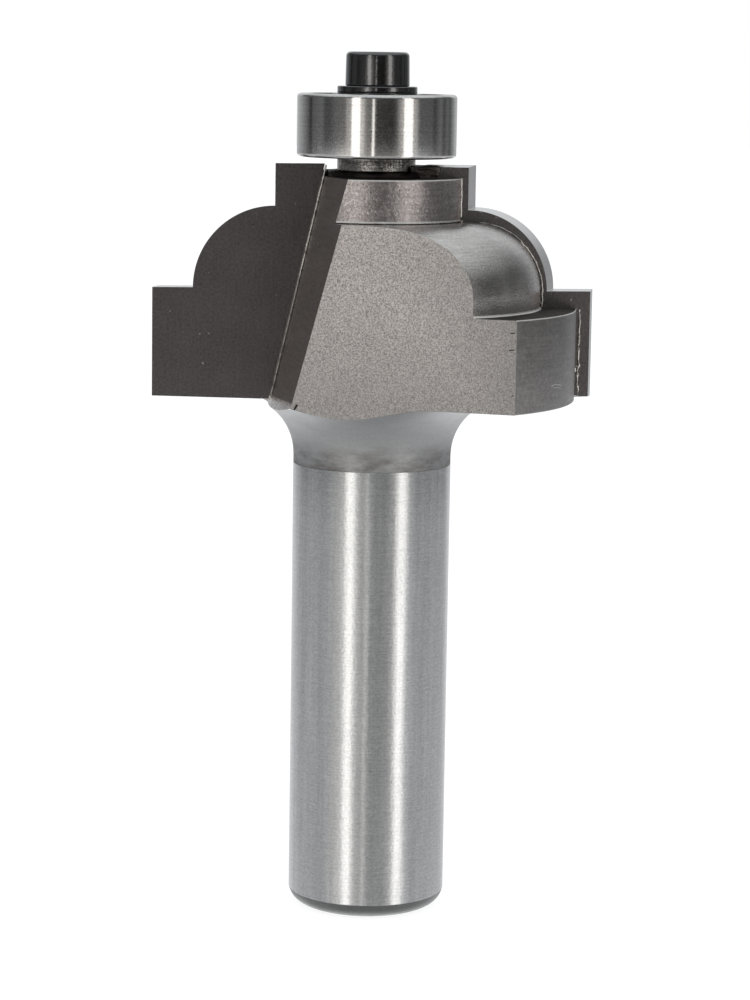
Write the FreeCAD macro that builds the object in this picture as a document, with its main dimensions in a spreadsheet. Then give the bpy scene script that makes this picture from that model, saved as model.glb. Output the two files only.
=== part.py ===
import FreeCAD, Part

import math
import os

import Sketcher
from FreeCAD import Placement, Rotation, Vector

# A two-flute profile router bit with a guide bearing. It stands on its shank's end: the origin is the
# centre of that end and +Z runs up the shank to the bearing and its screw. The cutting faces lie in the
# XZ plane. Plate 1 is on the +X side and faces +Y, and plate 2 is the same turned half a turn about Z.

DRIVING_SIZES = [
    # Shank, flare and head, turned from one bar
    ("shank_diameter", 12.7),
    ("shank_length", 37.1),
    ("shank_chamfer", 1.2),
    ("flare_radius", 4.7),
    ("head_diameter", 32.3),
    ("rim_height", 7.3),
    ("flank_diameter", 26.5),
    ("dome_height", 8.6),
    ("dome_radius", 5.5),
    ("hub_diameter", 13.66),
    ("hub_height", 17.56),
    ("neck_diameter", 6.24),
    ("neck_length", 1.54),
    # Milled gullets, relief flats and seats for the plates
    ("gullet_foot", 8.17),
    ("gullet_lean", 12.95),
    ("gullet_wall_angle", 10.5),
    ("flat_offset", 8.1),
    ("flat_angle", 65.0),
    # Carbide plates
    ("cutting_diameter", 35.56),
    ("tip_thickness", 2.0),
    ("tip_step_height", 8.7),
    ("tip_step_width", 3.22),
    ("tip_arc_radius", 6.5),
    ("tip_top_rise", 1.0),
    ("tip_heel_drop", 0.27),
    ("side_relief_angle", 24.5),
    ("top_relief_angle", 7.0),
    # Braze film behind a plate and along its inner edge
    ("braze_film", 0.12),
    ("braze_seam", 0.2),
    # Guide bearing
    ("bearing_diameter", 12.7),
    ("bearing_bore", 4.7625),
    ("bearing_width", 4.978),
    ("outer_corner", 0.3),
    ("inner_corner", 0.15),
    ("inner_land_diameter", 7.2),
    ("outer_land_diameter", 10.24),
    ("shield_seat_diameter", 11.0),
    ("shield_depth", 0.35),
    ("shield_thickness", 0.2),
    ("shield_gap", 0.12),
    ("snap_wire", 0.22),
    ("snap_groove_depth", 0.12),
    ("snap_inset", 0.12),
    ("snap_split_angle", 24.0),
    ("snap_ring_width", 0.42),
    ("ball_diameter", 2.381),
    ("ball_count", 7),
    ("groove_conformity", 1.04),
    ("running_clearance", 0.02),
    ("cage_pocket_clearance", 0.05),
    ("cage_back", 0.35),
    ("cage_mouth", 0.62),
    ("cage_land_gap", 0.24),
    # Washer and socket cap screw
    ("seat_clearance", 0.01),
    ("spigot_recess", 0.25),
    ("spigot_chamfer", 0.2),
    ("washer_diameter", 6.35),
    ("washer_thickness", 0.6),
    ("washer_edge", 0.08),
    ("washer_clearance", 0.12),
    ("screw_diameter", 3.175),
    ("screw_length", 8.0),
    ("screw_head_diameter", 5.1),
    ("screw_head_height", 2.7),
    ("screw_head_rounding", 0.35),
    ("screw_point_chamfer", 0.4),
    ("socket_across_flats", 2.38),
    ("socket_depth", 1.3),
    ("hole_spare_depth", 0.9),
    ("drill_point_angle", 118.0),
    ("machining_margin", 2.0),
]

FULL_TURN = 360.0
HALF_TURN = 180.0
HEXAGON_SIDES = 6
FLUTES = 2


class Size:
    """A size with its number and the formula that binds it to the sheet."""

    def __init__(self, number, formula):
        self.number = number
        self.formula = formula

    def __add__(self, other):
        other = as_size(other)
        return Size(self.number + other.number, f"({self.formula} + {other.formula})")

    def __sub__(self, other):
        other = as_size(other)
        return Size(self.number - other.number, f"({self.formula} - {other.formula})")

    def __mul__(self, other):
        other = as_size(other)
        return Size(self.number * other.number, f"({self.formula} * {other.formula})")

    def __truediv__(self, other):
        other = as_size(other)
        return Size(self.number / other.number, f"({self.formula} / {other.formula})")

    def __neg__(self):
        return Size(-self.number, f"(0 - {self.formula})")


def as_size(value):
    """Return a plain number as a size that never changes, and a size as it is."""
    if isinstance(value, Size):
        return value
    return Size(float(value), repr(float(value)))


def tangent(angle):
    """Return the tangent of an angle in degrees."""
    return Size(math.tan(math.radians(angle.number)), f"tan({angle.formula} * 1 deg)")


def cosine(angle):
    """Return the cosine of an angle in degrees."""
    return Size(math.cos(math.radians(angle.number)), f"cos({angle.formula} * 1 deg)")


def sine(angle):
    """Return the sine of an angle in degrees."""
    return Size(math.sin(math.radians(angle.number)), f"sin({angle.formula} * 1 deg)")


def root(value):
    """Return the square root of a size."""
    return Size(math.sqrt(value.number), f"sqrt({value.formula})")


def make_sheet(document):
    """Write the driving sizes to the sheet and return them by name."""
    sheet = document.addObject("Spreadsheet::Sheet", "sizes")
    named = {}
    for row, (alias, number) in enumerate(DRIVING_SIZES, start=1):
        cell = f"A{row}"
        sheet.set(cell, str(number))
        sheet.setAlias(cell, alias)
        named[alias] = Size(float(number), f"sizes.{alias}")
    document.recompute()
    return named


doc = FreeCAD.newDocument("router_bit")
size = make_sheet(doc)

# Heights of the head above the shank's end
underside = size["shank_length"] + size["flare_radius"]
ledge = underside + size["rim_height"]
dome_foot = underside + size["dome_height"]
dome_top = dome_foot + size["dome_radius"]
hub_top = underside + size["hub_height"]
neck_top = hub_top + size["neck_length"]
bearing_top = neck_top + size["bearing_width"]
washer_top = bearing_top + size["washer_thickness"]

# Radii of the turned body
shank_radius = size["shank_diameter"] / 2
head_radius = size["head_diameter"] / 2
flank_radius = size["flank_diameter"] / 2
dome_shoulder = flank_radius - size["dome_radius"]
hub_radius = size["hub_diameter"] / 2
neck_radius = size["neck_diameter"] / 2
screw_radius = size["screw_diameter"] / 2
spigot_radius = size["bearing_bore"] / 2 - size["seat_clearance"]
reach = head_radius + size["machining_margin"]

# Radii and heights inside the bearing, measured from its lower face
bearing_radius = size["bearing_diameter"] / 2
bore_radius = size["bearing_bore"] / 2
ball_radius = size["ball_diameter"] / 2
pitch_radius = (bearing_radius + bore_radius) / 2
middle = size["bearing_width"] / 2
groove_radius = ball_radius * size["groove_conformity"]
inner_land = size["inner_land_diameter"] / 2
outer_land = size["outer_land_diameter"] / 2
shield_seat = size["shield_seat_diameter"] / 2
inner_groove_centre = pitch_radius - ball_radius - size["running_clearance"] + groove_radius
outer_groove_centre = pitch_radius + ball_radius + size["running_clearance"] - groove_radius
inner_offset = inner_groove_centre - inner_land
outer_offset = outer_land - outer_groove_centre
inner_groove_half = root(groove_radius * groove_radius - inner_offset * inner_offset)
outer_groove_half = root(groove_radius * groove_radius - outer_offset * outer_offset)
shoulder = size["shield_depth"] + size["shield_thickness"]


def new_body(label):
    """Start a body whose name and label are the piece's."""
    body = doc.addObject("PartDesign::Body", label)
    body.Label = label
    return body


def origin_feature(body, role):
    """Find one of the body's own planes or axes."""
    return next(item for item in body.Origin.OriginFeatures if item.Role == role)


def new_sketch(body, name, plane, offset=None, turn=None):
    """Attach a sketch to a plane of the body, moved along its normal and turned in its plane."""
    sketch = body.newObject("Sketcher::SketchObject", f"{body.Name}_{name}")
    sketch.AttachmentSupport = [(origin_feature(body, plane), "")]
    sketch.MapMode = "FlatFace"
    turned = Rotation(Vector(0, 0, 1), turn.number if turn else 0.0)
    sketch.AttachmentOffset = Placement(Vector(0, 0, offset.number if offset else 0.0), turned)
    if offset:
        sketch.setExpression("AttachmentOffset.Base.z", offset.formula)
    if turn:
        sketch.setExpression("AttachmentOffset.Rotation.Angle", f"{turn.formula} * 1 deg")
    return sketch


def bind(sketch, kind, geometry, value, name):
    """Add a constraint whose value follows the sheet."""
    index = sketch.addConstraint(Sketcher.Constraint(kind, *geometry, value.number))
    sketch.renameConstraint(index, name)
    sketch.setExpression(f"Constraints.{name}", value.formula)


def pin_point(sketch, geometry, end, place, number):
    """Hold one corner of an outline at its place."""
    across, up = place
    if isinstance(across, Size):
        bind(sketch, "DistanceX", (-1, 1, geometry, end), across, f"across_{number}")
    else:
        sketch.addConstraint(Sketcher.Constraint("PointOnObject", geometry, end, -2))
    if isinstance(up, Size):
        bind(sketch, "DistanceY", (-1, 1, geometry, end), up, f"up_{number}")
    else:
        sketch.addConstraint(Sketcher.Constraint("PointOnObject", geometry, end, -1))


def draw_arc(start, finish, centre, radius):
    """Return the short arc between two corners and whether it starts at the first."""
    first = math.atan2(start.y - centre.y, start.x - centre.x)
    last = math.atan2(finish.y - centre.y, finish.x - centre.x)
    sweep = (last - first) % (2 * math.pi)
    circle = Part.Circle(centre, Vector(0, 0, 1), radius)
    if sweep < math.pi:
        return Part.ArcOfCircle(circle, first, first + sweep), True
    return Part.ArcOfCircle(circle, last, last + 2 * math.pi - sweep), False


def outline(sketch, corners, arcs=None):
    """Draw a closed outline. A corner's coordinate is a size, or 0 on an axis of the sketch.

    arcs gives, for the corner that an arc starts from, the arc's centre and radius.
    """
    arcs = arcs or {}
    points = [Vector(as_size(across).number, as_size(up).number, 0) for across, up in corners]
    ends = []
    for number, start in enumerate(points):
        finish = points[(number + 1) % len(points)]
        if number in arcs:
            across, up, radius = arcs[number]
            curve, forward = draw_arc(start, finish, Vector(across.number, up.number, 0), radius.number)
        else:
            curve, forward = Part.LineSegment(start, finish), True
        geometry = sketch.addGeometry(curve, False)
        ends.append((geometry, 1, 2) if forward else (geometry, 2, 1))
    for number, (geometry, first, last) in enumerate(ends):
        following, start, _ = ends[(number + 1) % len(ends)]
        sketch.addConstraint(Sketcher.Constraint("Coincident", geometry, last, following, start))
    for number, (geometry, first, last) in enumerate(ends):
        pin_point(sketch, geometry, first, corners[number], number)
        if number in arcs:
            bind(sketch, "Radius", (geometry,), arcs[number][2], f"radius_{number}")
    return sketch


def circles(sketch, radii):
    """Draw circles about the sketch's origin."""
    for number, radius in enumerate(radii):
        geometry = sketch.addGeometry(Part.Circle(Vector(0, 0, 0), Vector(0, 0, 1), radius.number), False)
        sketch.addConstraint(Sketcher.Constraint("Coincident", geometry, 3, -1, 1))
        bind(sketch, "Radius", (geometry,), radius, f"radius_{number}")
    return sketch


def revolve(body, name, corners, arcs=None, kind="Revolution", angle=None):
    """Turn an outline of radii and heights about Z, to add a solid or to groove one."""
    sketch = outline(new_sketch(body, f"{name}_profile", "XZ_Plane"), corners, arcs)
    feature = body.newObject(f"PartDesign::{kind}", f"{body.Name}_{name}")
    feature.Profile = sketch
    feature.ReferenceAxis = (sketch, ["V_Axis"])
    feature.Angle = FULL_TURN
    if angle:
        feature.Angle = angle.number
        feature.setExpression("Angle", angle.formula)
    return feature


def extrude(body, name, kind, sketch, length=None, reversed_way=False):
    """Pad or pocket a sketch by a length, or through all both ways where no length is given."""
    feature = body.newObject(f"PartDesign::{kind}", f"{body.Name}_{name}")
    feature.Profile = sketch
    if length:
        feature.Length = length.number
        feature.setExpression("Length", length.formula)
        feature.Reversed = reversed_way
    else:
        feature.Type = "ThroughAll"
        feature.SideType = "Symmetric"
    return feature


def loft(body, name, kind, first, second):
    """Rule a solid between two outlines."""
    feature = body.newObject(f"PartDesign::{kind}", f"{body.Name}_{name}")
    feature.Profile = first
    feature.Sections = [second]
    feature.Ruled = True
    return feature


def repeat_about_axis(body, name, features, count):
    """Repeat features evenly about Z and make the pattern the body's tip."""
    pattern = body.newObject("PartDesign::PolarPattern", f"{body.Name}_{name}")
    pattern.Originals = features
    pattern.Axis = (origin_feature(body, "Z_Axis"), [""])
    pattern.Angle = FULL_TURN
    pattern.Occurrences = int(count.number)
    if count.formula.startswith("sizes."):
        pattern.setExpression("Occurrences", count.formula)
    body.Tip = pattern
    return pattern


def raise_body(body, height):
    """Place a body at a height above the shank's end."""
    body.Placement = Placement(Vector(0, 0, height.number), Rotation())
    body.setExpression("Placement.Base.z", height.formula)


def corner_line(height, outward=None):
    """Radius of the slanted line where gullet wall and cutting face meet, or of a line outward of it."""
    radius = size["gullet_foot"] - tangent(size["gullet_lean"]) * (height - underside)
    if outward:
        radius = radius + outward / cosine(size["gullet_lean"])
    return radius


def head_profile():
    """Corners of the turned head from the rim's foot up to the hub's edge, and the dome's arc."""
    corners = [
        (head_radius, underside),
        (head_radius, ledge),
        (flank_radius, ledge),
        (flank_radius, dome_foot),
        (dome_shoulder, dome_top),
        (hub_radius, dome_top),
        (hub_radius, hub_top),
    ]
    dome_corner = 3
    return corners, {dome_corner: (dome_shoulder, dome_foot, size["dome_radius"])}


def shifted(arcs, places):
    """Move the arcs' corner numbers on by a number of places."""
    return {number + places: arc for number, arc in arcs.items()}


def make_cutter_body():
    """Shank, flare, winged head, hub, neck and spigot in one piece."""
    body = new_body("cutter_body")
    head, dome = head_profile()
    below = [
        (0, 0),
        (shank_radius - size["shank_chamfer"], 0),
        (shank_radius, size["shank_chamfer"]),
        (shank_radius, size["shank_length"]),
        (shank_radius + size["flare_radius"], underside),
    ]
    flare = {3: (shank_radius + size["flare_radius"], size["shank_length"], size["flare_radius"])}
    spigot_top = bearing_top - size["spigot_recess"]
    hole_bottom = washer_top - size["screw_length"] - size["hole_spare_depth"]
    point = hole_bottom - screw_radius / tangent(size["drill_point_angle"] / 2)
    above = [
        (neck_radius, hub_top),
        (neck_radius, neck_top),
        (spigot_radius, neck_top),
        (spigot_radius, spigot_top - size["spigot_chamfer"]),
        (spigot_radius - size["spigot_chamfer"], spigot_top),
        (screw_radius, spigot_top),
        (screw_radius, hole_bottom),
        (0, point),
    ]
    arcs = dict(flare)
    arcs.update(shifted(dome, len(below)))
    revolve(body, "turning", below + head + above, arcs)

    # The gullet in front of plate 1: its wall leans back from the cutting face
    low = size["shank_length"]
    high = neck_top
    back = tangent(size["gullet_wall_angle"]) * reach
    face = outline(new_sketch(body, "gullet_at_face", "XZ_Plane"), [
        (corner_line(low), low),
        (corner_line(high), high),
        (reach, high),
        (reach, low),
    ])
    rim = outline(new_sketch(body, "gullet_at_rim", "XZ_Plane", offset=-reach), [
        (corner_line(low) - back, low),
        (corner_line(high) - back, high),
        (reach, high),
        (reach, low),
    ])
    gullet = loft(body, "gullet", "SubtractiveLoft", face, rim)

    # The seat that plate 1 is brazed into
    seat_sketch = outline(new_sketch(body, "seat_outline", "XZ_Plane"), [
        (corner_line(low), low),
        (corner_line(high), high),
        (reach, high),
        (reach, low),
    ])
    seat = extrude(body, "seat", "Pocket", seat_sketch, size["tip_thickness"] + size["braze_film"], True)

    # The relief flat between the gullet and the back of the other wing
    flat_sketch = outline(new_sketch(body, "flat_outline", "XY_Plane", turn=size["flat_angle"]), [
        (size["flat_offset"], -reach),
        (reach, -reach),
        (reach, reach),
        (size["flat_offset"], reach),
    ])
    flat = extrude(body, "flat", "Pocket", flat_sketch)
    repeat_about_axis(body, "second_flute", [gullet, seat, flat], as_size(FLUTES))
    return body


def tip_outline(side_relief, top_relief):
    """Corners of a plate's outline, drawn in by its relief, and its arc."""
    cutting_radius = size["cutting_diameter"] / 2 - side_relief
    arc_outer = cutting_radius - size["tip_step_width"]
    arc_centre = arc_outer - size["tip_arc_radius"]
    heel = underside - size["tip_heel_drop"]
    step = underside + size["tip_step_height"] - top_relief
    top = hub_top + size["tip_top_rise"] - top_relief
    corners = [
        (corner_line(heel, size["braze_seam"]), heel),
        (cutting_radius, underside),
        (cutting_radius, step),
        (arc_outer, step),
        (arc_centre, step + size["tip_arc_radius"]),
        (arc_centre, top),
        (corner_line(top, size["braze_seam"]), top),
    ]
    arc_corner = 3
    return corners, {arc_corner: (arc_centre, step, size["tip_arc_radius"])}


def make_tip(label, turn):
    """A carbide plate, ruled from its cutting face to its smaller back."""
    body = new_body(label)
    none = as_size(0)
    side = size["tip_thickness"] * tangent(size["side_relief_angle"])
    top = size["tip_thickness"] * tangent(size["top_relief_angle"])
    face = outline(new_sketch(body, "face", "XZ_Plane"), *tip_outline(none, none))
    rear = new_sketch(body, "rear", "XZ_Plane", offset=size["tip_thickness"])
    outline(rear, *tip_outline(side, top))
    loft(body, "plate", "AdditiveLoft", face, rear)
    body.Placement = Placement(Vector(0, 0, 0), Rotation(Vector(0, 0, 1), turn))
    return body


def make_braze(label, turn):
    """The braze film behind a plate with the seam along its inner edge, flush with the head."""
    body = new_body(label)
    block_sketch = outline(new_sketch(body, "block_outline", "XZ_Plane"), [
        (corner_line(underside), underside),
        (corner_line(hub_top), hub_top),
        (reach, hub_top),
        (reach, underside),
    ])
    extrude(body, "block", "Pad", block_sketch, size["tip_thickness"] + size["braze_film"])
    low = underside - size["machining_margin"]
    high = hub_top + size["machining_margin"]
    room_sketch = outline(new_sketch(body, "plate_room_outline", "XZ_Plane"), [
        (corner_line(low, size["braze_seam"]), low),
        (corner_line(high, size["braze_seam"]), high),
        (reach + size["machining_margin"], high),
        (reach + size["machining_margin"], low),
    ])
    extrude(body, "plate_room", "Pocket", room_sketch, size["tip_thickness"], True)
    head, dome = head_profile()
    beyond = reach * 2
    around = head + [(hub_radius, high), (beyond, high), (beyond, low), (head_radius, low)]
    revolve(body, "trim", around, dome, kind="Groove")
    body.Placement = Placement(Vector(0, 0, 0), Rotation(Vector(0, 0, 1), turn))
    return body


def make_outer_ring():
    """The bearing's outer ring with its ball groove, shield seats and snap-ring grooves."""
    body = new_body("bearing_outer_ring")
    width = size["bearing_width"]
    corner = size["outer_corner"]
    snap_low = size["snap_inset"] - size["running_clearance"] / 2
    snap_high = size["shield_depth"]
    snap_root = shield_seat + size["snap_groove_depth"]
    lower = [
        (shield_seat, 0),
        (bearing_radius - corner, 0),
        (bearing_radius, corner),
        (bearing_radius, width - corner),
        (bearing_radius - corner, width),
        (shield_seat, width),
    ]
    inside = [
        (shield_seat, width - snap_low),
        (snap_root, width - snap_low),
        (snap_root, width - snap_high),
        (shield_seat, width - snap_high),
        (shield_seat, width - shoulder),
        (outer_land, width - shoulder),
        (outer_land, middle + outer_groove_half),
        (outer_land, middle - outer_groove_half),
        (outer_land, shoulder),
        (shield_seat, shoulder),
        (shield_seat, snap_high),
        (snap_root, snap_high),
        (snap_root, snap_low),
        (shield_seat, snap_low),
    ]
    groove_corner = len(lower) + 6
    groove = {groove_corner: (outer_groove_centre, middle, groove_radius)}
    revolve(body, "ring", lower + inside, groove)
    raise_body(body, neck_top)
    return body


def make_inner_ring():
    """The bearing's inner ring with its ball groove."""
    body = new_body("bearing_inner_ring")
    width = size["bearing_width"]
    corner = size["inner_corner"]
    corners = [
        (bore_radius + corner, 0),
        (inner_land, 0),
        (inner_land, middle - inner_groove_half),
        (inner_land, middle + inner_groove_half),
        (inner_land, width),
        (bore_radius + corner, width),
        (bore_radius, width - corner),
        (bore_radius, corner),
    ]
    revolve(body, "ring", corners, {2: (inner_groove_centre, middle, groove_radius)})
    raise_body(body, neck_top)
    return body


def make_ball(number):
    """One ball at its place on the pitch circle."""
    ball = doc.addObject("Part::Sphere", f"ball_{number + 1}")
    ball.Label = f"ball_{number + 1}"
    angle = as_size(FULL_TURN * number) / size["ball_count"]
    across = pitch_radius * cosine(angle)
    away = pitch_radius * sine(angle)
    height = neck_top + middle
    ball.Radius = ball_radius.number
    ball.setExpression("Radius", ball_radius.formula)
    ball.Placement = Placement(Vector(across.number, away.number, height.number), Rotation())
    ball.setExpression("Placement.Base.x", across.formula)
    ball.setExpression("Placement.Base.y", away.formula)
    ball.setExpression("Placement.Base.z", height.formula)
    return ball


def make_cage():
    """The crown cage: a ring with a round pocket for each ball, open at its upper side to snap over them."""
    body = new_body("ball_cage")
    inside = inner_land + size["cage_land_gap"]
    outside = outer_land - size["cage_land_gap"]
    pocket_radius = ball_radius + size["cage_pocket_clearance"]
    foot = -(pocket_radius + size["cage_back"])
    revolve(body, "crown", [
        (inside, foot),
        (outside, foot),
        (outside, size["cage_mouth"]),
        (inside, size["cage_mouth"]),
    ])
    pocket_sketch = circles(new_sketch(body, "pocket_circle", "YZ_Plane"), [pocket_radius])
    pocket = extrude(body, "pocket", "Pocket", pocket_sketch, outer_land, True)
    repeat_about_axis(body, "pockets", [pocket], size["ball_count"])
    raise_body(body, neck_top + middle)
    return body


def end_height(from_face, upper, thickness):
    """Height of a thin ring's lower face, counted inward from the bearing's lower or upper face."""
    if upper:
        return bearing_top - from_face - thickness
    return neck_top + from_face


def make_shield(label, upper):
    """A pressed shield between the outer ring's seat and the inner ring's land."""
    body = new_body(label)
    inside = inner_land + size["shield_gap"]
    outside = shield_seat - size["seat_clearance"]
    sketch = circles(new_sketch(body, "disc", "XY_Plane"), [outside, inside])
    extrude(body, "plate", "Pad", sketch, size["shield_thickness"])
    raise_body(body, end_height(size["shield_depth"], upper, size["shield_thickness"]))
    return body


def make_snap_ring(label, upper):
    """The split ring that holds a shield in its seat."""
    body = new_body(label)
    outside = shield_seat + size["snap_groove_depth"] - size["seat_clearance"]
    inside = outside - size["snap_ring_width"]
    revolve(body, "wire", [
        (inside, 0),
        (outside, 0),
        (outside, size["snap_wire"]),
        (inside, size["snap_wire"]),
    ], angle=as_size(FULL_TURN) - size["snap_split_angle"])
    raise_body(body, end_height(size["snap_inset"], upper, size["snap_wire"]))
    return body


def make_washer():
    """The clamping washer, with its pressed edges broken."""
    body = new_body("washer")
    inside = screw_radius + size["washer_clearance"]
    outside = size["washer_diameter"] / 2
    edge = size["washer_edge"]
    thickness = size["washer_thickness"]
    revolve(body, "disc", [
        (inside, 0),
        (outside - edge, 0),
        (outside, edge),
        (outside, thickness - edge),
        (outside - edge, thickness),
        (inside, thickness),
    ])
    raise_body(body, bearing_top)
    return body


def make_cap_screw():
    """The socket cap screw: its thread stands at the thread's outer size."""
    body = new_body("cap_screw")
    thread = screw_radius - size["seat_clearance"]
    head = size["screw_head_diameter"] / 2
    rounding = size["screw_head_rounding"]
    top = size["screw_head_height"]
    revolve(body, "blank", [
        (0, -size["screw_length"]),
        (thread - size["screw_point_chamfer"], -size["screw_length"]),
        (thread, size["screw_point_chamfer"] - size["screw_length"]),
        (thread, 0),
        (head, 0),
        (head, top - rounding),
        (head - rounding, top),
        (0, top),
    ], {5: (head - rounding, top - rounding, rounding)})
    sixth = FULL_TURN / HEXAGON_SIDES
    corner = size["socket_across_flats"] / 2 / cosine(as_size(sixth / 2))
    hexagon = [
        (corner * cosine(as_size(sixth * number)), corner * sine(as_size(sixth * number)))
        for number in range(HEXAGON_SIDES)
    ]
    socket_sketch = outline(new_sketch(body, "socket_hexagon", "XY_Plane", offset=top), hexagon)
    extrude(body, "socket", "Pocket", socket_sketch, size["socket_depth"])
    raise_body(body, washer_top)
    return body


def check(pieces):
    """Stop if any object failed to compute or a piece is not one valid solid."""
    for item in doc.Objects:
        failed = {"Invalid", "Error"}.intersection(item.State)
        if failed:
            raise RuntimeError(f"{item.Name} is {failed}")
    for piece in pieces:
        shape = piece.Shape
        if shape.isNull() or not shape.isValid() or len(shape.Solids) != 1:
            raise RuntimeError(f"{piece.Label} is not one valid solid")


def main():
    """Build every piece, check it and write it."""
    pieces = [make_cutter_body()]
    for number, turn in ((1, 0.0), (2, HALF_TURN)):
        pieces.append(make_tip(f"carbide_tip_{number}", turn))
        pieces.append(make_braze(f"braze_{number}", turn))
    pieces.append(make_outer_ring())
    pieces.append(make_inner_ring())
    for number in range(int(size["ball_count"].number)):
        pieces.append(make_ball(number))
    pieces.append(make_cage())
    for side, upper in (("lower", False), ("upper", True)):
        pieces.append(make_shield(f"shield_{side}", upper))
        pieces.append(make_snap_ring(f"snap_ring_{side}", upper))
    pieces.append(make_washer())
    pieces.append(make_cap_screw())
    doc.recompute()
    check(pieces)
    os.makedirs("parts", exist_ok=True)
    for piece in pieces:
        piece.Shape.exportStep(f"parts/{piece.Label}.step")
        box = piece.Shape.BoundBox
        print(f"{piece.Label}: {piece.Shape.Volume:.2f} mm3, z {box.ZMin:.2f} to {box.ZMax:.2f}")


main()
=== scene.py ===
import logging
import math
import random
from dataclasses import dataclass, field
from enum import Enum, IntEnum
from typing import Callable, Iterable

import bmesh
import bpy
from mathutils import Matrix, Vector


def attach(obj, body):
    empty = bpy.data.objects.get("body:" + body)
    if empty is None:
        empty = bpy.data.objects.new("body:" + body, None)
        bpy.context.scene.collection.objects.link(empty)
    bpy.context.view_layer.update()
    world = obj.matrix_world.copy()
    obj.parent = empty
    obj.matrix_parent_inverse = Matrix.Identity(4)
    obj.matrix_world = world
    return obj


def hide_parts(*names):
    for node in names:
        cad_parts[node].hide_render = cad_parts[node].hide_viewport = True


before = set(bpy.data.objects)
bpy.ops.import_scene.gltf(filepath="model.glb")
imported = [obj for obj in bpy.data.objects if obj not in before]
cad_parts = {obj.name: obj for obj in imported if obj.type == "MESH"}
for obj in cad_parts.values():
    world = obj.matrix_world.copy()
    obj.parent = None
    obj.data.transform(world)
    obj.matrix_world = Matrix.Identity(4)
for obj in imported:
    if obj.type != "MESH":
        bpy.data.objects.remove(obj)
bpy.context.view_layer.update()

logging.basicConfig(level=logging.INFO, format="%(name)s: %(message)s")
log = logging.getLogger("router_bit")

MM = 0.001
FULL_TURN = 2.0 * math.pi
AXIS = Vector((0.0, 0.0, 1.0))
ORIGIN = Vector((0.0, 0.0, 0.0))

Point = tuple[float, float]
Triple = tuple[float, float, float]
Colour = Triple


class Body(Enum):
    """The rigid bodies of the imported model."""

    CUTTER = "cutter"
    OUTER_RACE = "outer_race"


class Slot(Enum):
    """The record's material slots, which new pieces are handed over with."""

    BODY_STEEL = "body_steel"
    CARBIDE = "carbide"
    SILVER_BRAZE = "silver_braze"
    BEARING_STEEL = "bearing_steel"
    BLACK_OXIDE = "black_oxide"


class Region(IntEnum):
    """The regions of the turned head, each with a finish of its own."""

    FLARE = 0
    RIM = 1
    DOME = 2
    HUB = 3
    NECK = 4
    # Painted shade: near-black finish for the groove under the hub and for the hub's top.
    PAINTED_SHADE = 5
    # Darker ledge: painted shade.
    LEDGE = 6
    # Painted highlight on the edge bands. The rim's real scratches share this finish.
    PAINTED_HIGHLIGHT_AND_SCRATCH = 7


# Materials ---------------------------------------------------------------------------------------


class NodeBoard:
    """A node tree, with short ways to add what the finishes and the surroundings share."""

    def __init__(self, tree: bpy.types.NodeTree) -> None:
        """Start with an empty tree.

        Args:
            tree: The tree, which loses the nodes that it has.
        """
        self.tree = tree
        self.tree.nodes.clear()

    def add(self, kind: str, **settings: object) -> bpy.types.Node:
        """Add a node.

        Args:
            kind: The node's type without its ShaderNode prefix.
            **settings: Attributes to set on it.

        Returns:
            The new node.
        """
        node = self.tree.nodes.new(f"ShaderNode{kind}")
        for name, value in settings.items():
            setattr(node, name, value)
        return node

    def feed(self, node: bpy.types.Node, socket: str | int, value: object) -> None:
        """Link a socket to an input, or set the input to a plain value.

        Args:
            node: The node that is fed.
            socket: The input's name or number.
            value: An output socket, a number or a tuple.
        """
        entry = node.inputs[socket]
        if isinstance(value, bpy.types.NodeSocket):
            self.tree.links.new(value, entry)
        else:
            entry.default_value = value

    def spread(self, value: bpy.types.NodeSocket, low: float, high: float, start: float = 0.0,
               end: float = 1.0) -> bpy.types.NodeSocket:
        """Map a value's range onto another and clamp it.

        Args:
            value: The value socket.
            low: Value that gives start.
            high: Value that gives end.
            start: Result at low.
            end: Result at high.

        Returns:
            The mapped value socket.
        """
        node = self.add("MapRange")
        self.feed(node, "Value", value)
        self.feed(node, "From Min", low)
        self.feed(node, "From Max", high)
        self.feed(node, "To Min", start)
        self.feed(node, "To Max", end)
        return node.outputs["Result"]

    def compute(self, operation: str, first: object, second: object = 0.0) -> bpy.types.NodeSocket:
        """Combine two numbers.

        Args:
            operation: The Math node's operation.
            first: A socket or a number.
            second: A socket or a number.

        Returns:
            The result's socket.
        """
        node = self.add("Math", operation=operation)
        self.feed(node, 0, first)
        self.feed(node, 1, second)
        return node.outputs[0]

    def total(self, first: bpy.types.NodeSocket, *others: bpy.types.NodeSocket) -> bpy.types.NodeSocket:
        """Add numbers up.

        Args:
            first: The first number's socket.
            *others: The sockets that are added to it.

        Returns:
            The sum's socket.
        """
        result = first
        for other in others:
            result = self.compute("ADD", result, other)
        return result

    def blend(self, amount: object, first: object, second: object) -> bpy.types.NodeSocket:
        """Mix two colours.

        Args:
            amount: Share of the second colour.
            first: A colour or a colour socket.
            second: A colour or a colour socket.

        Returns:
            The mixed colour's socket.
        """
        node = self.add("Mix", data_type="RGBA")
        self.feed(node, "Factor", amount)
        self.feed(node, 6, first if isinstance(first, bpy.types.NodeSocket) else (*first, 1.0))
        self.feed(node, 7, second if isinstance(second, bpy.types.NodeSocket) else (*second, 1.0))
        return node.outputs[2]


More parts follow.
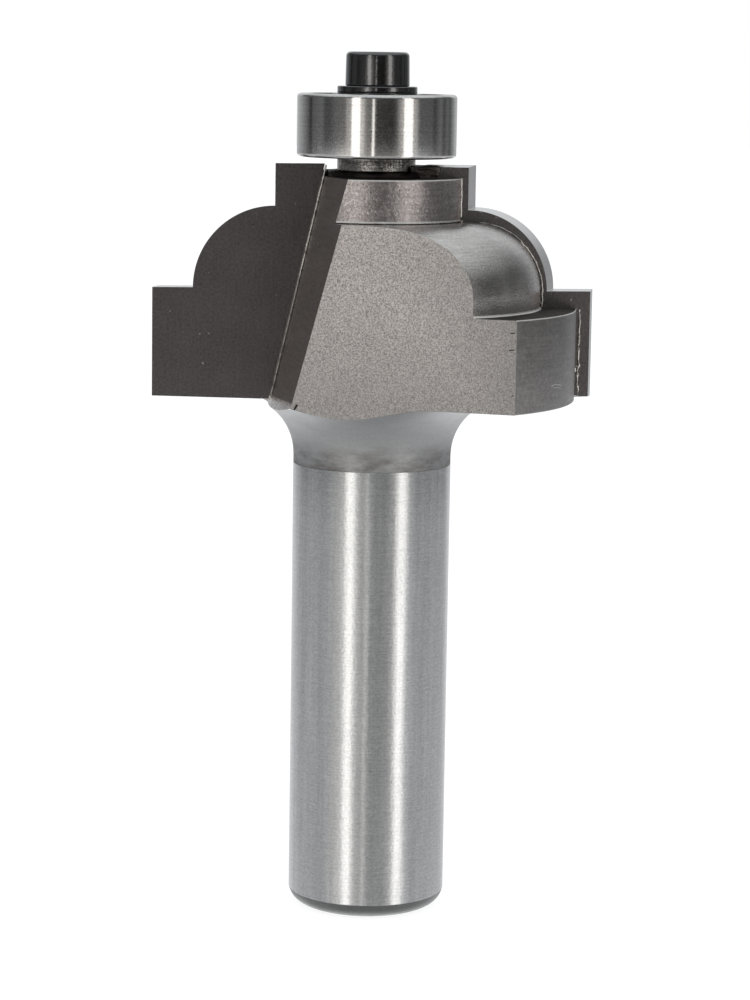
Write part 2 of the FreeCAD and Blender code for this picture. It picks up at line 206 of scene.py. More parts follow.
class FinishBoard(NodeBoard):
    """A metal finish's node tree, which reads the object's own coordinates."""

    def __init__(self, name: str) -> None:
        """Start a material with an empty tree.

        Args:
            name: The material's name.
        """
        self.material = bpy.data.materials.new(name)
        self.material.use_nodes = True
        super().__init__(self.material.node_tree)

    def millimetres(self, stretch: Triple = (1.0, 1.0, 1.0)) -> bpy.types.NodeSocket:
        """Give the object's coordinates in millimetres, stretched along its axes.

        Args:
            stretch: Factor for each axis.

        Returns:
            The vector socket.
        """
        coordinates = self.add("TexCoord")
        mapping = self.add("Mapping")
        self.feed(mapping, "Vector", coordinates.outputs["Object"])
        self.feed(mapping, "Scale", tuple(value / MM for value in stretch))
        return mapping.outputs["Vector"]

    def noise(self, vector: bpy.types.NodeSocket, scale: float, detail: float = 4.0,
              coarseness: float = 0.55) -> bpy.types.NodeSocket:
        """Give a noise value between 0 and 1.

        Args:
            vector: The coordinates.
            scale: Features for each millimetre.
            detail: Octaves of finer noise.
            coarseness: Weight of the finer octaves.

        Returns:
            The value socket.
        """
        node = self.add("TexNoise")
        self.feed(node, "Vector", vector)
        self.feed(node, "Scale", scale)
        self.feed(node, "Detail", detail)
        self.feed(node, "Roughness", coarseness)
        return node.outputs["Fac"]

    def relief(self, height: bpy.types.NodeSocket, depth_mm: float,
               below: bpy.types.NodeSocket | None = None) -> bpy.types.NodeSocket:
        """Turn a height into a normal.

        Args:
            height: Height between 0 and 1.
            depth_mm: Depth of the full range in millimetres.
            below: Normal of a coarser relief that this one lies on.

        Returns:
            The normal's socket.
        """
        node = self.add("Bump")
        self.feed(node, "Strength", 1.0)
        self.feed(node, "Distance", depth_mm * MM)
        self.feed(node, "Height", height)
        if below is not None:
            self.feed(node, "Normal", below)
        return node.outputs["Normal"]

    def height_up(self) -> bpy.types.NodeSocket:
        """Give the height above the shank's end in millimetres."""
        split = self.add("SeparateXYZ")
        self.feed(split, "Vector", self.millimetres())
        return split.outputs["Z"]

    def radius(self) -> bpy.types.NodeSocket:
        """Give the distance from the axis in millimetres."""
        length = self.add("VectorMath", operation="LENGTH")
        self.feed(length, 0, self.millimetres((1.0, 1.0, 0.0)))
        return length.outputs["Value"]

    def finish(self, **sockets: object) -> bpy.types.Material:
        """Close the tree with a metal shader.

        Args:
            **sockets: Inputs by name, with underscores for spaces.

        Returns:
            The material.
        """
        shader = self.add("BsdfPrincipled")
        for name, value in sockets.items():
            label = name.replace("_", " ")
            if isinstance(value, tuple) and len(value) == 3:
                value = (*value, 1.0)
            self.feed(shader, label, value)
        output = self.add("OutputMaterial")
        self.feed(output, "Surface", shader.outputs["BSDF"])
        return self.material


@dataclass(frozen=True)
class GroundSteel:
    """Centreless-ground shank steel: fine rings round the axis and a bright satin gloss."""

    name: str = "ground_shank_steel"
    colour: Colour = (0.88, 0.875, 0.865)
    shade: Colour = (0.45, 0.46, 0.465)
    gloss: float = 0.31
    direction: float = 0.95
    ring_depth: float = 0.0006
    grain_depth: float = 0.009

    def build(self) -> bpy.types.Material:
        """Make the material."""
        board = FinishBoard(self.name)
        rings = board.noise(board.millimetres((0.05, 0.05, 9.0)), 1.0, 6.0, 0.7)
        streaks = board.noise(board.millimetres((2.4, 2.4, 0.09)), 1.0, 4.0, 0.65)
        specks = board.noise(board.millimetres((5.0, 5.0, 7.5)), 1.0, 2.0, 0.6)
        scratches = board.noise(board.millimetres((0.9, 0.9, 11.0)), 1.0, 3.0, 0.6)
        tone = board.total(
            board.spread(rings, 0.3, 0.7, 0.0, 0.25),
            board.spread(streaks, 0.3, 0.7, 0.0, 0.28),
            board.spread(specks, 0.36, 0.64, 0.0, 0.36),
            board.spread(scratches, 0.35, 0.65, 0.0, 0.2),
        )
        tangent = board.add("Tangent", direction_type="RADIAL", axis="Z")
        return board.finish(
            Base_Color=board.blend(tone, self.shade, self.colour),
            Metallic=1.0,
            Roughness=board.spread(rings, 0.25, 0.75, self.gloss - 0.04, self.gloss + 0.05),
            Anisotropic=self.direction,
            Anisotropic_Rotation=0.25,
            Tangent=tangent.outputs["Tangent"],
            Normal=board.relief(specks, self.grain_depth, board.relief(rings, self.ring_depth)),
        )


@dataclass(frozen=True)
class TurnedSteel:
    """Steel left from the lathe or the mill, with rings round the axis, a grain and perhaps a stain.

    Attributes:
        name: The material's name.
        colour: Colour of its light spots.
        shade: Colour of its dark spots.
        gloss: Its roughness, on average.
        ring_depth: Depth of its rings in millimetres.
        rings_per_mm: How fine the rings are.
        grain_depth: Depth of its grain in millimetres.
        grain_per_mm: How fine the grain is.
        stain: Colour of a stain near the foot of the face.
        stain_top: Height that the stain reaches, in millimetres.
        stain_fade: Height over which it fades, in millimetres.
        stain_gate: Noise values at which the stain starts and is full.
        stain_grain: How fine the stain is along each axis.
        grazing: Tint of what it mirrors at a grazing angle.
    """

    name: str
    colour: Colour
    shade: Colour
    gloss: float
    ring_depth: float = 0.003
    rings_per_mm: float = 6.0
    grain_depth: float = 0.0
    grain_per_mm: float = 7.0
    stain: Colour | None = None
    stain_top: float = 38.6
    stain_fade: float = 1.4
    stain_gate: Point = (0.38, 0.66)
    stain_grain: Triple = (0.4, 0.4, 1.1)
    grazing: Colour = (1.0, 1.0, 1.0)

    def build(self) -> bpy.types.Material:
        """Make the material."""
        board = FinishBoard(self.name)
        rings = board.noise(board.millimetres((0.06, 0.06, 1.0)), self.rings_per_mm, 5.0, 0.65)
        cloud = board.noise(board.millimetres(), 0.6, 4.0, 0.6)
        specks = board.noise(board.millimetres(), self.grain_per_mm, 3.0, 0.7)
        tone = board.total(
            board.spread(rings, 0.3, 0.7, 0.0, 0.35),
            board.spread(cloud, 0.3, 0.7, 0.0, 0.2),
            board.spread(specks, 0.33, 0.67, 0.0, 0.45),
        )
        normal = board.relief(rings, self.ring_depth)
        if self.grain_depth:
            grain = board.noise(board.millimetres(), self.grain_per_mm, 4.0, 0.6)
            normal = board.relief(grain, self.grain_depth, normal)
        colour = board.blend(tone, self.shade, self.colour)
        if self.stain:
            smear = board.noise(board.millimetres(self.stain_grain), 0.8, 5.0, 0.65)
            fade = board.spread(board.height_up(), self.stain_top - self.stain_fade, self.stain_top, 1.0, 0.0)
            amount = board.compute("MULTIPLY", fade, board.spread(smear, *self.stain_gate))
            colour = board.blend(amount, colour, self.stain)
        return board.finish(
            Base_Color=colour,
            Metallic=1.0,
            Specular_Tint=self.grazing,
            Roughness=board.spread(cloud, 0.3, 0.7, self.gloss - 0.04, self.gloss + 0.06),
            Normal=normal,
        )


@dataclass(frozen=True)
class BlastedSteel:
    """Bead-blasted steel: a fine grain of light and dark pits, darkened towards its far edge and foot by
    painted shade.
    """

    name: str = "blasted_flat_steel"
    colour: Colour = (0.76, 0.71, 0.68)
    shade: Colour = (0.19, 0.178, 0.17)
    # Painted shade: the colour that the flat darkens to towards its far edge and its foot.
    edge: Colour = (0.23, 0.226, 0.222)
    gloss: float = 0.42
    grain_per_mm: float = 8.0
    grain_depth: float = 0.028
    painted_shade_radii: Point = (8.5, 16.5)
    painted_shade_edge: float = 0.6
    painted_shade_heights: Point = (41.5, 50.5)
    painted_shade_foot: float = 0.42

    def build(self) -> bpy.types.Material:
        """Make the material."""
        board = FinishBoard(self.name)
        grain = board.noise(board.millimetres(), self.grain_per_mm, 3.0, 0.6)
        fine = board.noise(board.millimetres(), self.grain_per_mm * 2.6, 2.0, 0.5)
        cloud = board.noise(board.millimetres(), 0.35, 3.0, 0.6)
        tone = board.total(
            board.spread(grain, 0.37, 0.63, 0.0, 0.66),
            board.spread(fine, 0.34, 0.66, 0.0, 0.28),
            board.spread(cloud, 0.3, 0.7, 0.0, 0.06),
        )
        normal = board.relief(grain, self.grain_depth)
        normal = board.relief(fine, self.grain_depth * 0.35, normal)
        colour = board.blend(tone, self.shade, self.colour)
        # Painted shade: the flat darkens towards its far edge and towards its foot.
        outside = board.spread(board.radius(), *self.painted_shade_radii, 0.0, self.painted_shade_edge)
        below = board.spread(board.height_up(), *self.painted_shade_heights, self.painted_shade_foot, 0.0)
        wear_and_painted_shade = board.compute("MAXIMUM", outside, below)
        return board.finish(
            Base_Color=board.blend(wear_and_painted_shade, colour, self.edge),
            Metallic=1.0,
            Roughness=board.spread(fine, 0.3, 0.7, self.gloss - 0.06, self.gloss + 0.08),
            Normal=normal,
        )


@dataclass(frozen=True)
class GroundCarbide:
    """Cemented carbide, ground with a fine wheel: dark, with faint upright lines."""

    name: str = "ground_carbide"
    colour: Colour = (0.26, 0.239, 0.235)
    shade: Colour = (0.135, 0.124, 0.122)
    gloss: float = 0.33
    line_depth: float = 0.0001
    fleck: Colour = (0.55, 0.53, 0.51)

    def build(self) -> bpy.types.Material:
        """Make the material."""
        board = FinishBoard(self.name)
        lines = board.noise(board.millimetres((1.0, 1.0, 0.04)), 7.0, 4.0, 0.6)
        cloud = board.noise(board.millimetres(), 0.25, 3.0, 0.5)
        grain = board.noise(board.millimetres(), 5.0, 3.0, 0.7)
        specks = board.noise(board.millimetres(), 2.6, 1.0, 0.4)
        tone = board.total(
            board.spread(lines, 0.3, 0.7, 0.0, 0.25),
            board.spread(cloud, 0.3, 0.7, 0.0, 0.25),
            board.spread(grain, 0.36, 0.64, 0.0, 0.5),
        )
        colour = board.blend(tone, self.shade, self.colour)
        colour = board.blend(board.spread(specks, 0.74, 0.79), colour, self.fleck)
        return board.finish(
            Base_Color=colour,
            Metallic=1.0,
            Roughness=board.spread(grain, 0.3, 0.7, self.gloss - 0.03, self.gloss + 0.04),
            Normal=board.relief(lines, self.line_depth),
        )


@dataclass(frozen=True)
class SilverBraze:
    """Solidified silver braze: bright, lumpy and a little oxidised."""

    name: str = "silver_braze_metal"
    colour: Colour = (0.92, 0.89, 0.84)
    shade: Colour = (0.42, 0.39, 0.36)
    gloss: float = 0.26
    lump_depth: float = 0.02

    def build(self) -> bpy.types.Material:
        """Make the material."""
        board = FinishBoard(self.name)
        lumps = board.noise(board.millimetres(), 3.5, 3.0, 0.6)
        stain = board.noise(board.millimetres(), 1.3, 3.0, 0.6)
        return board.finish(
            Base_Color=board.blend(board.spread(stain, 0.32, 0.48), self.shade, self.colour),
            Metallic=1.0,
            Roughness=board.spread(lumps, 0.3, 0.7, self.gloss - 0.08, self.gloss + 0.14),
            Normal=board.relief(lumps, self.lump_depth),
        )


@dataclass(frozen=True)
class PolishedSteel:
    """Hardened bearing steel, superfinished on its round faces."""

    name: str
    colour: Colour = (0.74, 0.73, 0.715)
    shade: Colour = (0.48, 0.465, 0.455)
    gloss: float = 0.12
    direction: float = 0.60
    line_depth: float = 0.0003

    def build(self) -> bpy.types.Material:
        """Make the material."""
        board = FinishBoard(self.name)
        lines = board.noise(board.millimetres((0.08, 0.08, 8.0)), 1.0, 4.0, 0.6)
        grain = board.noise(board.millimetres(), 7.0, 2.0, 0.6)
        tangent = board.add("Tangent", direction_type="RADIAL", axis="Z")
        tone = board.total(board.spread(grain, 0.3, 0.7, 0.0, 0.6), board.spread(lines, 0.3, 0.7, 0.0, 0.4))
        return board.finish(
            Base_Color=board.blend(tone, self.shade, self.colour),
            Metallic=1.0,
            Roughness=board.spread(grain, 0.3, 0.7, self.gloss - 0.02, self.gloss + 0.03),
            Anisotropic=self.direction,
            Anisotropic_Rotation=0.25,
            Tangent=tangent.outputs["Tangent"],
            Normal=board.relief(lines, self.line_depth),
        )


@dataclass(frozen=True)
class BlackOxide:
    """Oiled black oxide over steel: glossy, nearly black, slightly uneven."""

    name: str = "glossy_black_oxide"
    colour: Colour = (0.005, 0.0047, 0.0045)
    # Real wear: colour of the black oxide's lighter patches.
    wear_and_painted_shade: Colour = (0.022, 0.020, 0.019)
    gloss: float = 0.09
    refraction: float = 2.15
    grain_depth: float = 0.008

    def build(self) -> bpy.types.Material:
        """Make the material."""
        board = FinishBoard(self.name)
        grain = board.noise(board.millimetres(), 3.2, 3.0, 0.6)
        wear = board.noise(board.millimetres(), 0.9, 4.0, 0.7)
        return board.finish(
            Base_Color=board.blend(board.spread(wear, 0.55, 0.75), self.colour, self.wear_and_painted_shade),
            Metallic=0.0,
            Roughness=board.spread(grain, 0.3, 0.7, self.gloss - 0.03, self.gloss + 0.06),
            IOR=self.refraction,
            Normal=board.relief(grain, self.grain_depth),
        )


@dataclass(frozen=True)
class MouldedPolyamide:
    """Moulded polyamide of the ball cage."""

    name: str = "ball_cage_polyamide"
    colour: Colour = (0.74, 0.69, 0.55)
    shade: Colour = (0.66, 0.61, 0.48)
    cloud_depth: float = 0.008

    def build(self) -> bpy.types.Material:
        """Make the material."""
        board = FinishBoard(self.name)
        cloud = board.noise(board.millimetres(), 1.5, 4.0, 0.6)
        return board.finish(
            Base_Color=board.blend(board.spread(cloud, 0.3, 0.7), self.shade, self.colour),
            Roughness=board.spread(cloud, 0.3, 0.7, 0.32, 0.42),
            Normal=board.relief(cloud, self.cloud_depth),
        )


class Palette:
    """The finishes of the bit's pieces, with their settings."""

    SHANK = GroundSteel()
    CHAMFER = TurnedSteel("turned_chamfer_steel", (0.26, 0.265, 0.255), (0.14, 0.143, 0.137), gloss=0.42)
    HEAD = {
        Region.FLARE: TurnedSteel(
            "satin_flare_steel", (0.53, 0.53, 0.53), (0.42, 0.42, 0.42), gloss=0.56, ring_depth=0.001,
            grain_depth=0.006, grain_per_mm=5.0, stain=(0.22, 0.204, 0.192),
        ),
        Region.RIM: TurnedSteel(
            "turned_rim_steel", (0.45, 0.43, 0.418), (0.215, 0.205, 0.197), gloss=0.42, ring_depth=0.001,
            grain_depth=0.018, grain_per_mm=3.5,
        ),
        Region.DOME: TurnedSteel(
            "turned_dome_steel", (0.74, 0.712, 0.685), (0.32, 0.303, 0.288), gloss=0.24, ring_depth=0.004,
            rings_per_mm=7.0, grain_depth=0.022,
        ),
        Region.HUB: TurnedSteel(
            "turned_hub_steel", (0.76, 0.69, 0.675), (0.22, 0.196, 0.187), gloss=0.25, ring_depth=0.001,
            rings_per_mm=5.0, grain_depth=0.036, grain_per_mm=5.2,
        ),
        Region.NECK: TurnedSteel(
            "turned_neck_steel", (0.95, 0.90, 0.86), (0.03, 0.027, 0.025), gloss=0.20, ring_depth=0.002,
            rings_per_mm=5.0, grain_depth=0.045, grain_per_mm=4.5,
        ),
        # Painted shade: near-black finish where the groove and the hub's top lie in shade and mirror dark
        # parts.
        Region.PAINTED_SHADE: TurnedSteel(
            "painted_shade_steel", (0.16, 0.145, 0.13), (0.05, 0.045, 0.04), gloss=0.50, ring_depth=0.002,
            rings_per_mm=5.0, grain_depth=0.01,
        ),
        # Painted shade: darker colour and a dimmed grazing reflection, where the ledge mirrors the dark plate
        # backs and dome.
        Region.LEDGE: TurnedSteel(
            "painted_shade_ledge_steel", (0.15, 0.143, 0.138), (0.06, 0.056, 0.053), gloss=0.46, ring_depth=0.002,
            grain_depth=0.012, grain_per_mm=3.5, grazing=(0.40, 0.39, 0.38),
        ),
        # Painted highlight: near-white finish for the edge bands. The rim scratches take it too.
        Region.PAINTED_HIGHLIGHT_AND_SCRATCH: TurnedSteel(
            "painted_highlight_and_scratch_steel", (0.92, 0.90, 0.87), (0.60, 0.58, 0.55), gloss=0.50, ring_depth=0.002,
            grain_depth=0.01,
        ),
    }
    WALL = TurnedSteel(
        "milled_wall_steel", (0.41, 0.388, 0.378), (0.165, 0.155, 0.15), gloss=0.30, ring_depth=0.0006,
        grain_depth=0.006, grain_per_mm=4.0, stain=(1.0, 0.96, 0.94), stain_top=41.85, stain_fade=0.10,
        stain_gate=(0.30, 0.56), stain_grain=(7.0, 7.0, 7.0),
    )
    FLAT = BlastedSteel()
    # Near-black: painted shade for the ring round the neck. The burnt specks and the burr use it too.
    SHADE_AND_SPECKS = TurnedSteel(
        "black_shade_and_speck_steel", (0.06, 0.052, 0.048), (0.012, 0.010, 0.009), gloss=0.34, ring_depth=0.002,
        rings_per_mm=3.0, grain_depth=0.03,
    )
    # Dark brown: painted shade for the lumps beside the plates.
    SHADE_LUMPS = TurnedSteel(
        "dark_shade_lumps", (0.15, 0.133, 0.122), (0.045, 0.040, 0.036), gloss=0.36, ring_depth=0.002,
        rings_per_mm=3.0, grain_depth=0.03,
    )
    PLATE = GroundCarbide()
    HONED = GroundCarbide("honed_relief_carbide", (0.80, 0.79, 0.78), (0.66, 0.65, 0.64), gloss=0.30)
    BEAD = SilverBraze()
    THREAD = SilverBraze(
        "dull_braze_thread", (0.58, 0.55, 0.53), (0.26, 0.24, 0.235), gloss=0.42, lump_depth=0.012,
    )
    FILM = SilverBraze(
        "dull_braze_film", (0.30, 0.28, 0.26), (0.14, 0.13, 0.12), gloss=0.40, lump_depth=0.006,
    )
    RACE = PolishedSteel("polished_bearing_steel")
    PRESSED = PolishedSteel(
        "pressed_sheet_steel", (0.15, 0.15, 0.145), (0.09, 0.09, 0.088), gloss=0.40, direction=0.0,
    )
    BLACK = BlackOxide()
    CAGE = MouldedPolyamide()


# Modelling ---------------------------------------------------------------------------------------


@dataclass
class Profile:
    """Outline of radii and heights in millimetres, with rounded corners and arcs.

    Attributes:
        corners: Both coordinates of each corner, and the radius that it is rounded to.
    """

    corners: list[Triple] = field(default_factory=list)

    def to(self, across: float, up: float, rounding: float = 0.0) -> "Profile":
        """Go straight to a corner.

        Args:
            across: The corner's first coordinate.
            up: The corner's second coordinate.
            rounding: Radius that the corner is rounded to.

        Returns:
            The profile itself, so that calls can be chained.
        """
        self.corners.append((across, up, rounding))
        return self

    def arc(self, centre: Point, radius: float, start: float, end: float, steps: int) -> "Profile":
        """Follow an arc.

        Args:
            centre: The arc's centre.
            radius: The arc's radius.
            start: Angle of the arc's first point in degrees.
            end: Angle of its last point in degrees.
            steps: Number of straight runs that stand for it.

        Returns:
            The profile itself.
        """
        for step in range(steps + 1):
            angle = math.radians(start + (end - start) * step / steps)
            across = centre[0] + radius * math.cos(angle)
            up = centre[1] + radius * math.sin(angle)
            self.corners.append((across, up, 0.0))
        return self

    def path(self, closed: bool = False, steps: int = 4) -> list[Point]:
        """Work out the outline with its corners rounded.

        Args:
            closed: Whether the last corner joins the first.
            steps: Straight runs in a rounded corner.

        Returns:
            The outline's points in millimetres.
        """
        points: list[Point] = []
        count = len(self.corners)
        for index, (across, up, rounding) in enumerate(self.corners):
            inner = closed or 0 < index < count - 1
            if not rounding or not inner:
                points.append((across, up))
                continue
            corner = Vector((across, up))
            before = Vector(self.corners[index - 1][:2]) - corner
            after = Vector(self.corners[(index + 1) % count][:2]) - corner
            before.normalize()
            after.normalize()
            half = before.angle(after) / 2.0
            bisector = (before + after).normalized()
            centre = corner + bisector * (rounding / math.sin(half))
            first = corner + before * (rounding / math.tan(half)) - centre
            last = corner + after * (rounding / math.tan(half)) - centre
            sweep = first.angle_signed(last)
            for step in range(steps + 1):
                turned = Matrix.Rotation(-sweep * step / steps, 2) @ first
                points.append((centre.x + turned.x, centre.y + turned.y))
        return points


class Bench:
    """Edit-mode steps that the sub-assemblies share. Lengths are in millimetres."""

    CLOSE = 1e-7
    CLOSE_AFTER_SPIN = 2e-7

    @staticmethod
    def clear() -> None:
        """Leave edit mode and deselect everything."""
        if bpy.context.object and bpy.context.object.mode != "OBJECT":
            bpy.ops.object.mode_set(mode="OBJECT")
        bpy.ops.object.select_all(action="DESELECT")

    @staticmethod
    def start_line(name: str, points: Iterable[Triple]) -> bpy.types.Object:
        """Extrude a single point along a line of points and stay in edit mode.

        Args:
            name: The piece's name.
            points: The line's points in millimetres.

        Returns:
            The new object, in edit mode.
        """
        Bench.clear()
        places = [Vector(point) * MM for point in points]
        bpy.ops.mesh.primitive_plane_add(size=MM, location=ORIGIN)
        piece = bpy.context.object
        piece.name = name
        piece.data.name = name
        bpy.ops.object.mode_set(mode="EDIT")
        bpy.ops.mesh.select_all(action="SELECT")
        bpy.ops.mesh.merge(type="CENTER")
        bpy.ops.transform.translate(value=places[0])
        for before, after in zip(places, places[1:]):
            bpy.ops.mesh.extrude_region_move(TRANSFORM_OT_translate={"value": after - before})
        return piece

    @staticmethod
    def turn(name: str, path: list[Point], steps: int) -> bpy.types.Object:
        """Spin a profile about the axis into a closed solid.

        Args:
            name: The piece's name.
            path: Radius and height of each point. Both ends lie on the axis, or the path is closed.
            steps: Number of facets round the axis.

        Returns:
            The turned piece, in object mode.
        """
        piece = Bench.start_line(name, [(radius, 0.0, height) for radius, height in path])
        bpy.ops.mesh.select_all(action="SELECT")
        bpy.ops.mesh.remove_doubles(threshold=Bench.CLOSE)
        bpy.ops.mesh.select_all(action="SELECT")
        bpy.ops.mesh.spin(steps=steps, angle=FULL_TURN, center=ORIGIN, axis=AXIS)
        bpy.ops.mesh.select_all(action="SELECT")
        bpy.ops.mesh.remove_doubles(threshold=Bench.CLOSE_AFTER_SPIN)
        bpy.ops.mesh.select_all(action="SELECT")
        bpy.ops.mesh.normals_make_consistent(inside=False)
        bpy.ops.object.mode_set(mode="OBJECT")
        return piece

    @staticmethod
    def slab(name: str, outline: list[Triple], depth: Triple) -> bpy.types.Object:
        """Fill a closed outline and extrude it.

        Args:
            name: The piece's name.
            outline: The outline's points.
            depth: How far, and which way, the face is extruded.

        Returns:
            The slab, in edit mode with its far face selected.
        """
        piece = Bench.start_line(name, [*outline, outline[0]])
        bpy.ops.mesh.select_all(action="SELECT")
        bpy.ops.mesh.remove_doubles(threshold=Bench.CLOSE)
        bpy.ops.mesh.select_all(action="SELECT")
        bpy.ops.mesh.edge_face_add()
        bpy.ops.mesh.extrude_region_move(TRANSFORM_OT_translate={"value": Vector(depth) * MM})
        return piece

    @staticmethod
    def pick_points(piece: bpy.types.Object, test: Callable[[Vector], bool]) -> None:
        """Select the points of a piece in edit mode that a test accepts.

        Args:
            piece: The piece, in edit mode.
            test: Takes a point in millimetres and says whether it is picked.
        """
        bpy.ops.mesh.select_mode(type="VERT")
        bpy.ops.mesh.select_all(action="DESELECT")
        mesh = bmesh.from_edit_mesh(piece.data)
        for vertex in mesh.verts:
            vertex.select = test(vertex.co / MM)
        mesh.select_flush(True)
        bmesh.update_edit_mesh(piece.data)

    @staticmethod
    def shift(value: Triple) -> None:
        """Move what is selected.

        Args:
            value: The move in millimetres.
        """
        bpy.ops.transform.translate(value=Vector(value) * MM)

    @staticmethod
    def put_right(piece: bpy.types.Object) -> None:
        """Merge doubles, point the faces outwards and leave edit mode.

        Args:
            piece: The piece, in edit mode.
        """
        bpy.ops.mesh.select_all(action="SELECT")
        bpy.ops.mesh.remove_doubles(threshold=Bench.CLOSE)
        bpy.ops.mesh.select_all(action="SELECT")
        bpy.ops.mesh.normals_make_consistent(inside=False)
        bpy.ops.object.mode_set(mode="OBJECT")

    @staticmethod
    def half_turn_copy(piece: bpy.types.Object, name: str) -> bpy.types.Object:
        """Copy a piece with its own mesh and turn the copy half round the axis.

        Args:
            piece: The piece to copy.
            name: The copy's name.

        Returns:
            The copy, with its turn in its mesh.
        """
        Bench.clear()
        copy = piece.copy()
        copy.data = piece.data.copy()
        copy.name = name
        copy.data.name = name
        bpy.context.collection.objects.link(copy)
        bpy.context.view_layer.objects.active = copy
        copy.select_set(True)
        bpy.ops.object.mode_set(mode="EDIT")
        bpy.ops.mesh.select_all(action="SELECT")
        bpy.ops.transform.rotate(value=math.pi, orient_axis="Z", center_override=ORIGIN)
        bpy.ops.object.mode_set(mode="OBJECT")
        return copy

    @staticmethod
    def roughen(piece: bpy.types.Object, amount: float, seed: int) -> None:
        """Push a piece's points about at random and round it off again.

        Args:
            piece: The piece.
            amount: Farthest push in millimetres.
            seed: Number that fixes the random pushes.
        """
        Bench.clear()
        bpy.context.view_layer.objects.active = piece
        piece.select_set(True)
        bpy.ops.object.mode_set(mode="EDIT")
        bpy.ops.mesh.select_all(action="SELECT")
        bpy.ops.transform.vertex_random(offset=amount * MM, uniform=0.3, normal=0.0, seed=seed)
        Bench.put_right(piece)
        Bench.apply(piece, "SUBSURF", levels=1, render_levels=1)
        Bench.smooth(piece, 80.0)

    @staticmethod
    def apply(piece: bpy.types.Object, kind: str, **settings: object) -> None:
        """Add a modifier and apply it.

        Args:
            piece: The piece that gets it.
            kind: The modifier's type.
            **settings: Its settings.
        """
        Bench.clear()
        bpy.context.view_layer.objects.active = piece
        piece.select_set(True)
        modifier = piece.modifiers.new(kind.lower(), kind)
        for name, value in settings.items():
            setattr(modifier, name, value)
        bpy.ops.object.modifier_apply(modifier=modifier.name)

    @staticmethod
    def cut(piece: bpy.types.Object, cutter: bpy.types.Object) -> None:
        """Take a cutter's shape out of a piece. The cut faces get the cutter's material.

        Args:
            piece: The piece that is cut.
            cutter: The cutter, which is deleted afterwards.
        """
        Bench.apply(piece, "BOOLEAN", operation="DIFFERENCE", object=cutter, solver="EXACT",
                    material_mode="TRANSFER")
        bpy.data.objects.remove(cutter)

    @staticmethod
    def soften(piece: bpy.types.Object, width: float, segments: int = 2, angle: float = 35.0) -> None:
        """Break a piece's sharp edges.

        Args:
            piece: The piece.
            width: Width of the broken edge in millimetres.
            segments: Facets across it.
            angle: Smallest angle of an edge that is broken, in degrees.
        """
        Bench.apply(piece, "BEVEL", width=width * MM, segments=segments, limit_method="ANGLE",
                    angle_limit=math.radians(angle), use_clamp_overlap=False, harden_normals=False)

    @staticmethod
    def smooth(piece: bpy.types.Object, angle: float = 30.0) -> None:
        """Shade a piece smooth across edges flatter than an angle.

        Args:
            piece: The piece.
            angle: The angle in degrees.
        """
        Bench.clear()
        bpy.context.view_layer.objects.active = piece
        piece.select_set(True)
        bpy.ops.object.shade_smooth_by_angle(angle=math.radians(angle))

    @staticmethod
    def dress(piece: bpy.types.Object, materials: list[bpy.types.Material],
              choose: Callable[[Vector, Vector], int] | None = None) -> None:
        """Give a piece its materials.

        Args:
            piece: The piece.
            materials: Its materials in order.
            choose: Takes a face's centre in millimetres and its normal, and gives the material's number.
        """
        piece.data.materials.clear()
        for material in materials:
            piece.data.materials.append(material)
        if choose:
            for face in piece.data.polygons:
                face.material_index = choose(face.center / MM, face.normal)

    @staticmethod
    def hand_over(piece: bpy.types.Object, body: Body, slot: Slot, *nodes: str) -> None:
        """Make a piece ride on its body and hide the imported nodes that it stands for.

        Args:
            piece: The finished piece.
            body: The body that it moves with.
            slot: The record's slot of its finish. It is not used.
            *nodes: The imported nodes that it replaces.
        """
        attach(piece, body.value)
        if nodes:
            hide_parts(*nodes)
        log.info("%s: %d faces on %s", piece.name, len(piece.data.polygons), body.value)


# Sub-assemblies ----------------------------------------------------------------------------------


@dataclass
class HeadSizes:
    """Sizes of the turned and milled head that its pieces share, in millimetres and degrees."""

    shank_radius: float = 6.35
    shank_height: float = 37.1
    flare_radius: float = 4.7
    underside: float = 41.8
    rim_radius: float = 16.15
    ledge: float = 49.1
    flank_radius: float = 13.25
    dome_foot: float = 50.4
    dome_radius: float = 5.5
    hub_radius: float = 6.83
    hub_top: float = 59.36
    neck_radius: float = 3.12
    neck_top: float = 60.9
    spigot_radius: float = 2.371
    spigot_top: float = 65.628
    hole_radius: float = 1.5875
    hole_bottom: float = 57.578
    hole_point: float = 56.624
    gullet_foot: float = 8.17
    gullet_lean: float = 12.95
    gullet_wall_angle: float = 10.5
    flat_offset: float = 8.1
    flat_angle: float = 65.0
    reach: float = 18.25
    seat_depth: float = 2.12

    def corner_line(self, height: float) -> float:
        """Give the distance from the axis of the line where gullet wall and seat meet.

        Args:
            height: Height above the shank's end.

        Returns:
            The distance in millimetres.
        """
        return self.gullet_foot - math.tan(math.radians(self.gullet_lean)) * (height - self.underside)


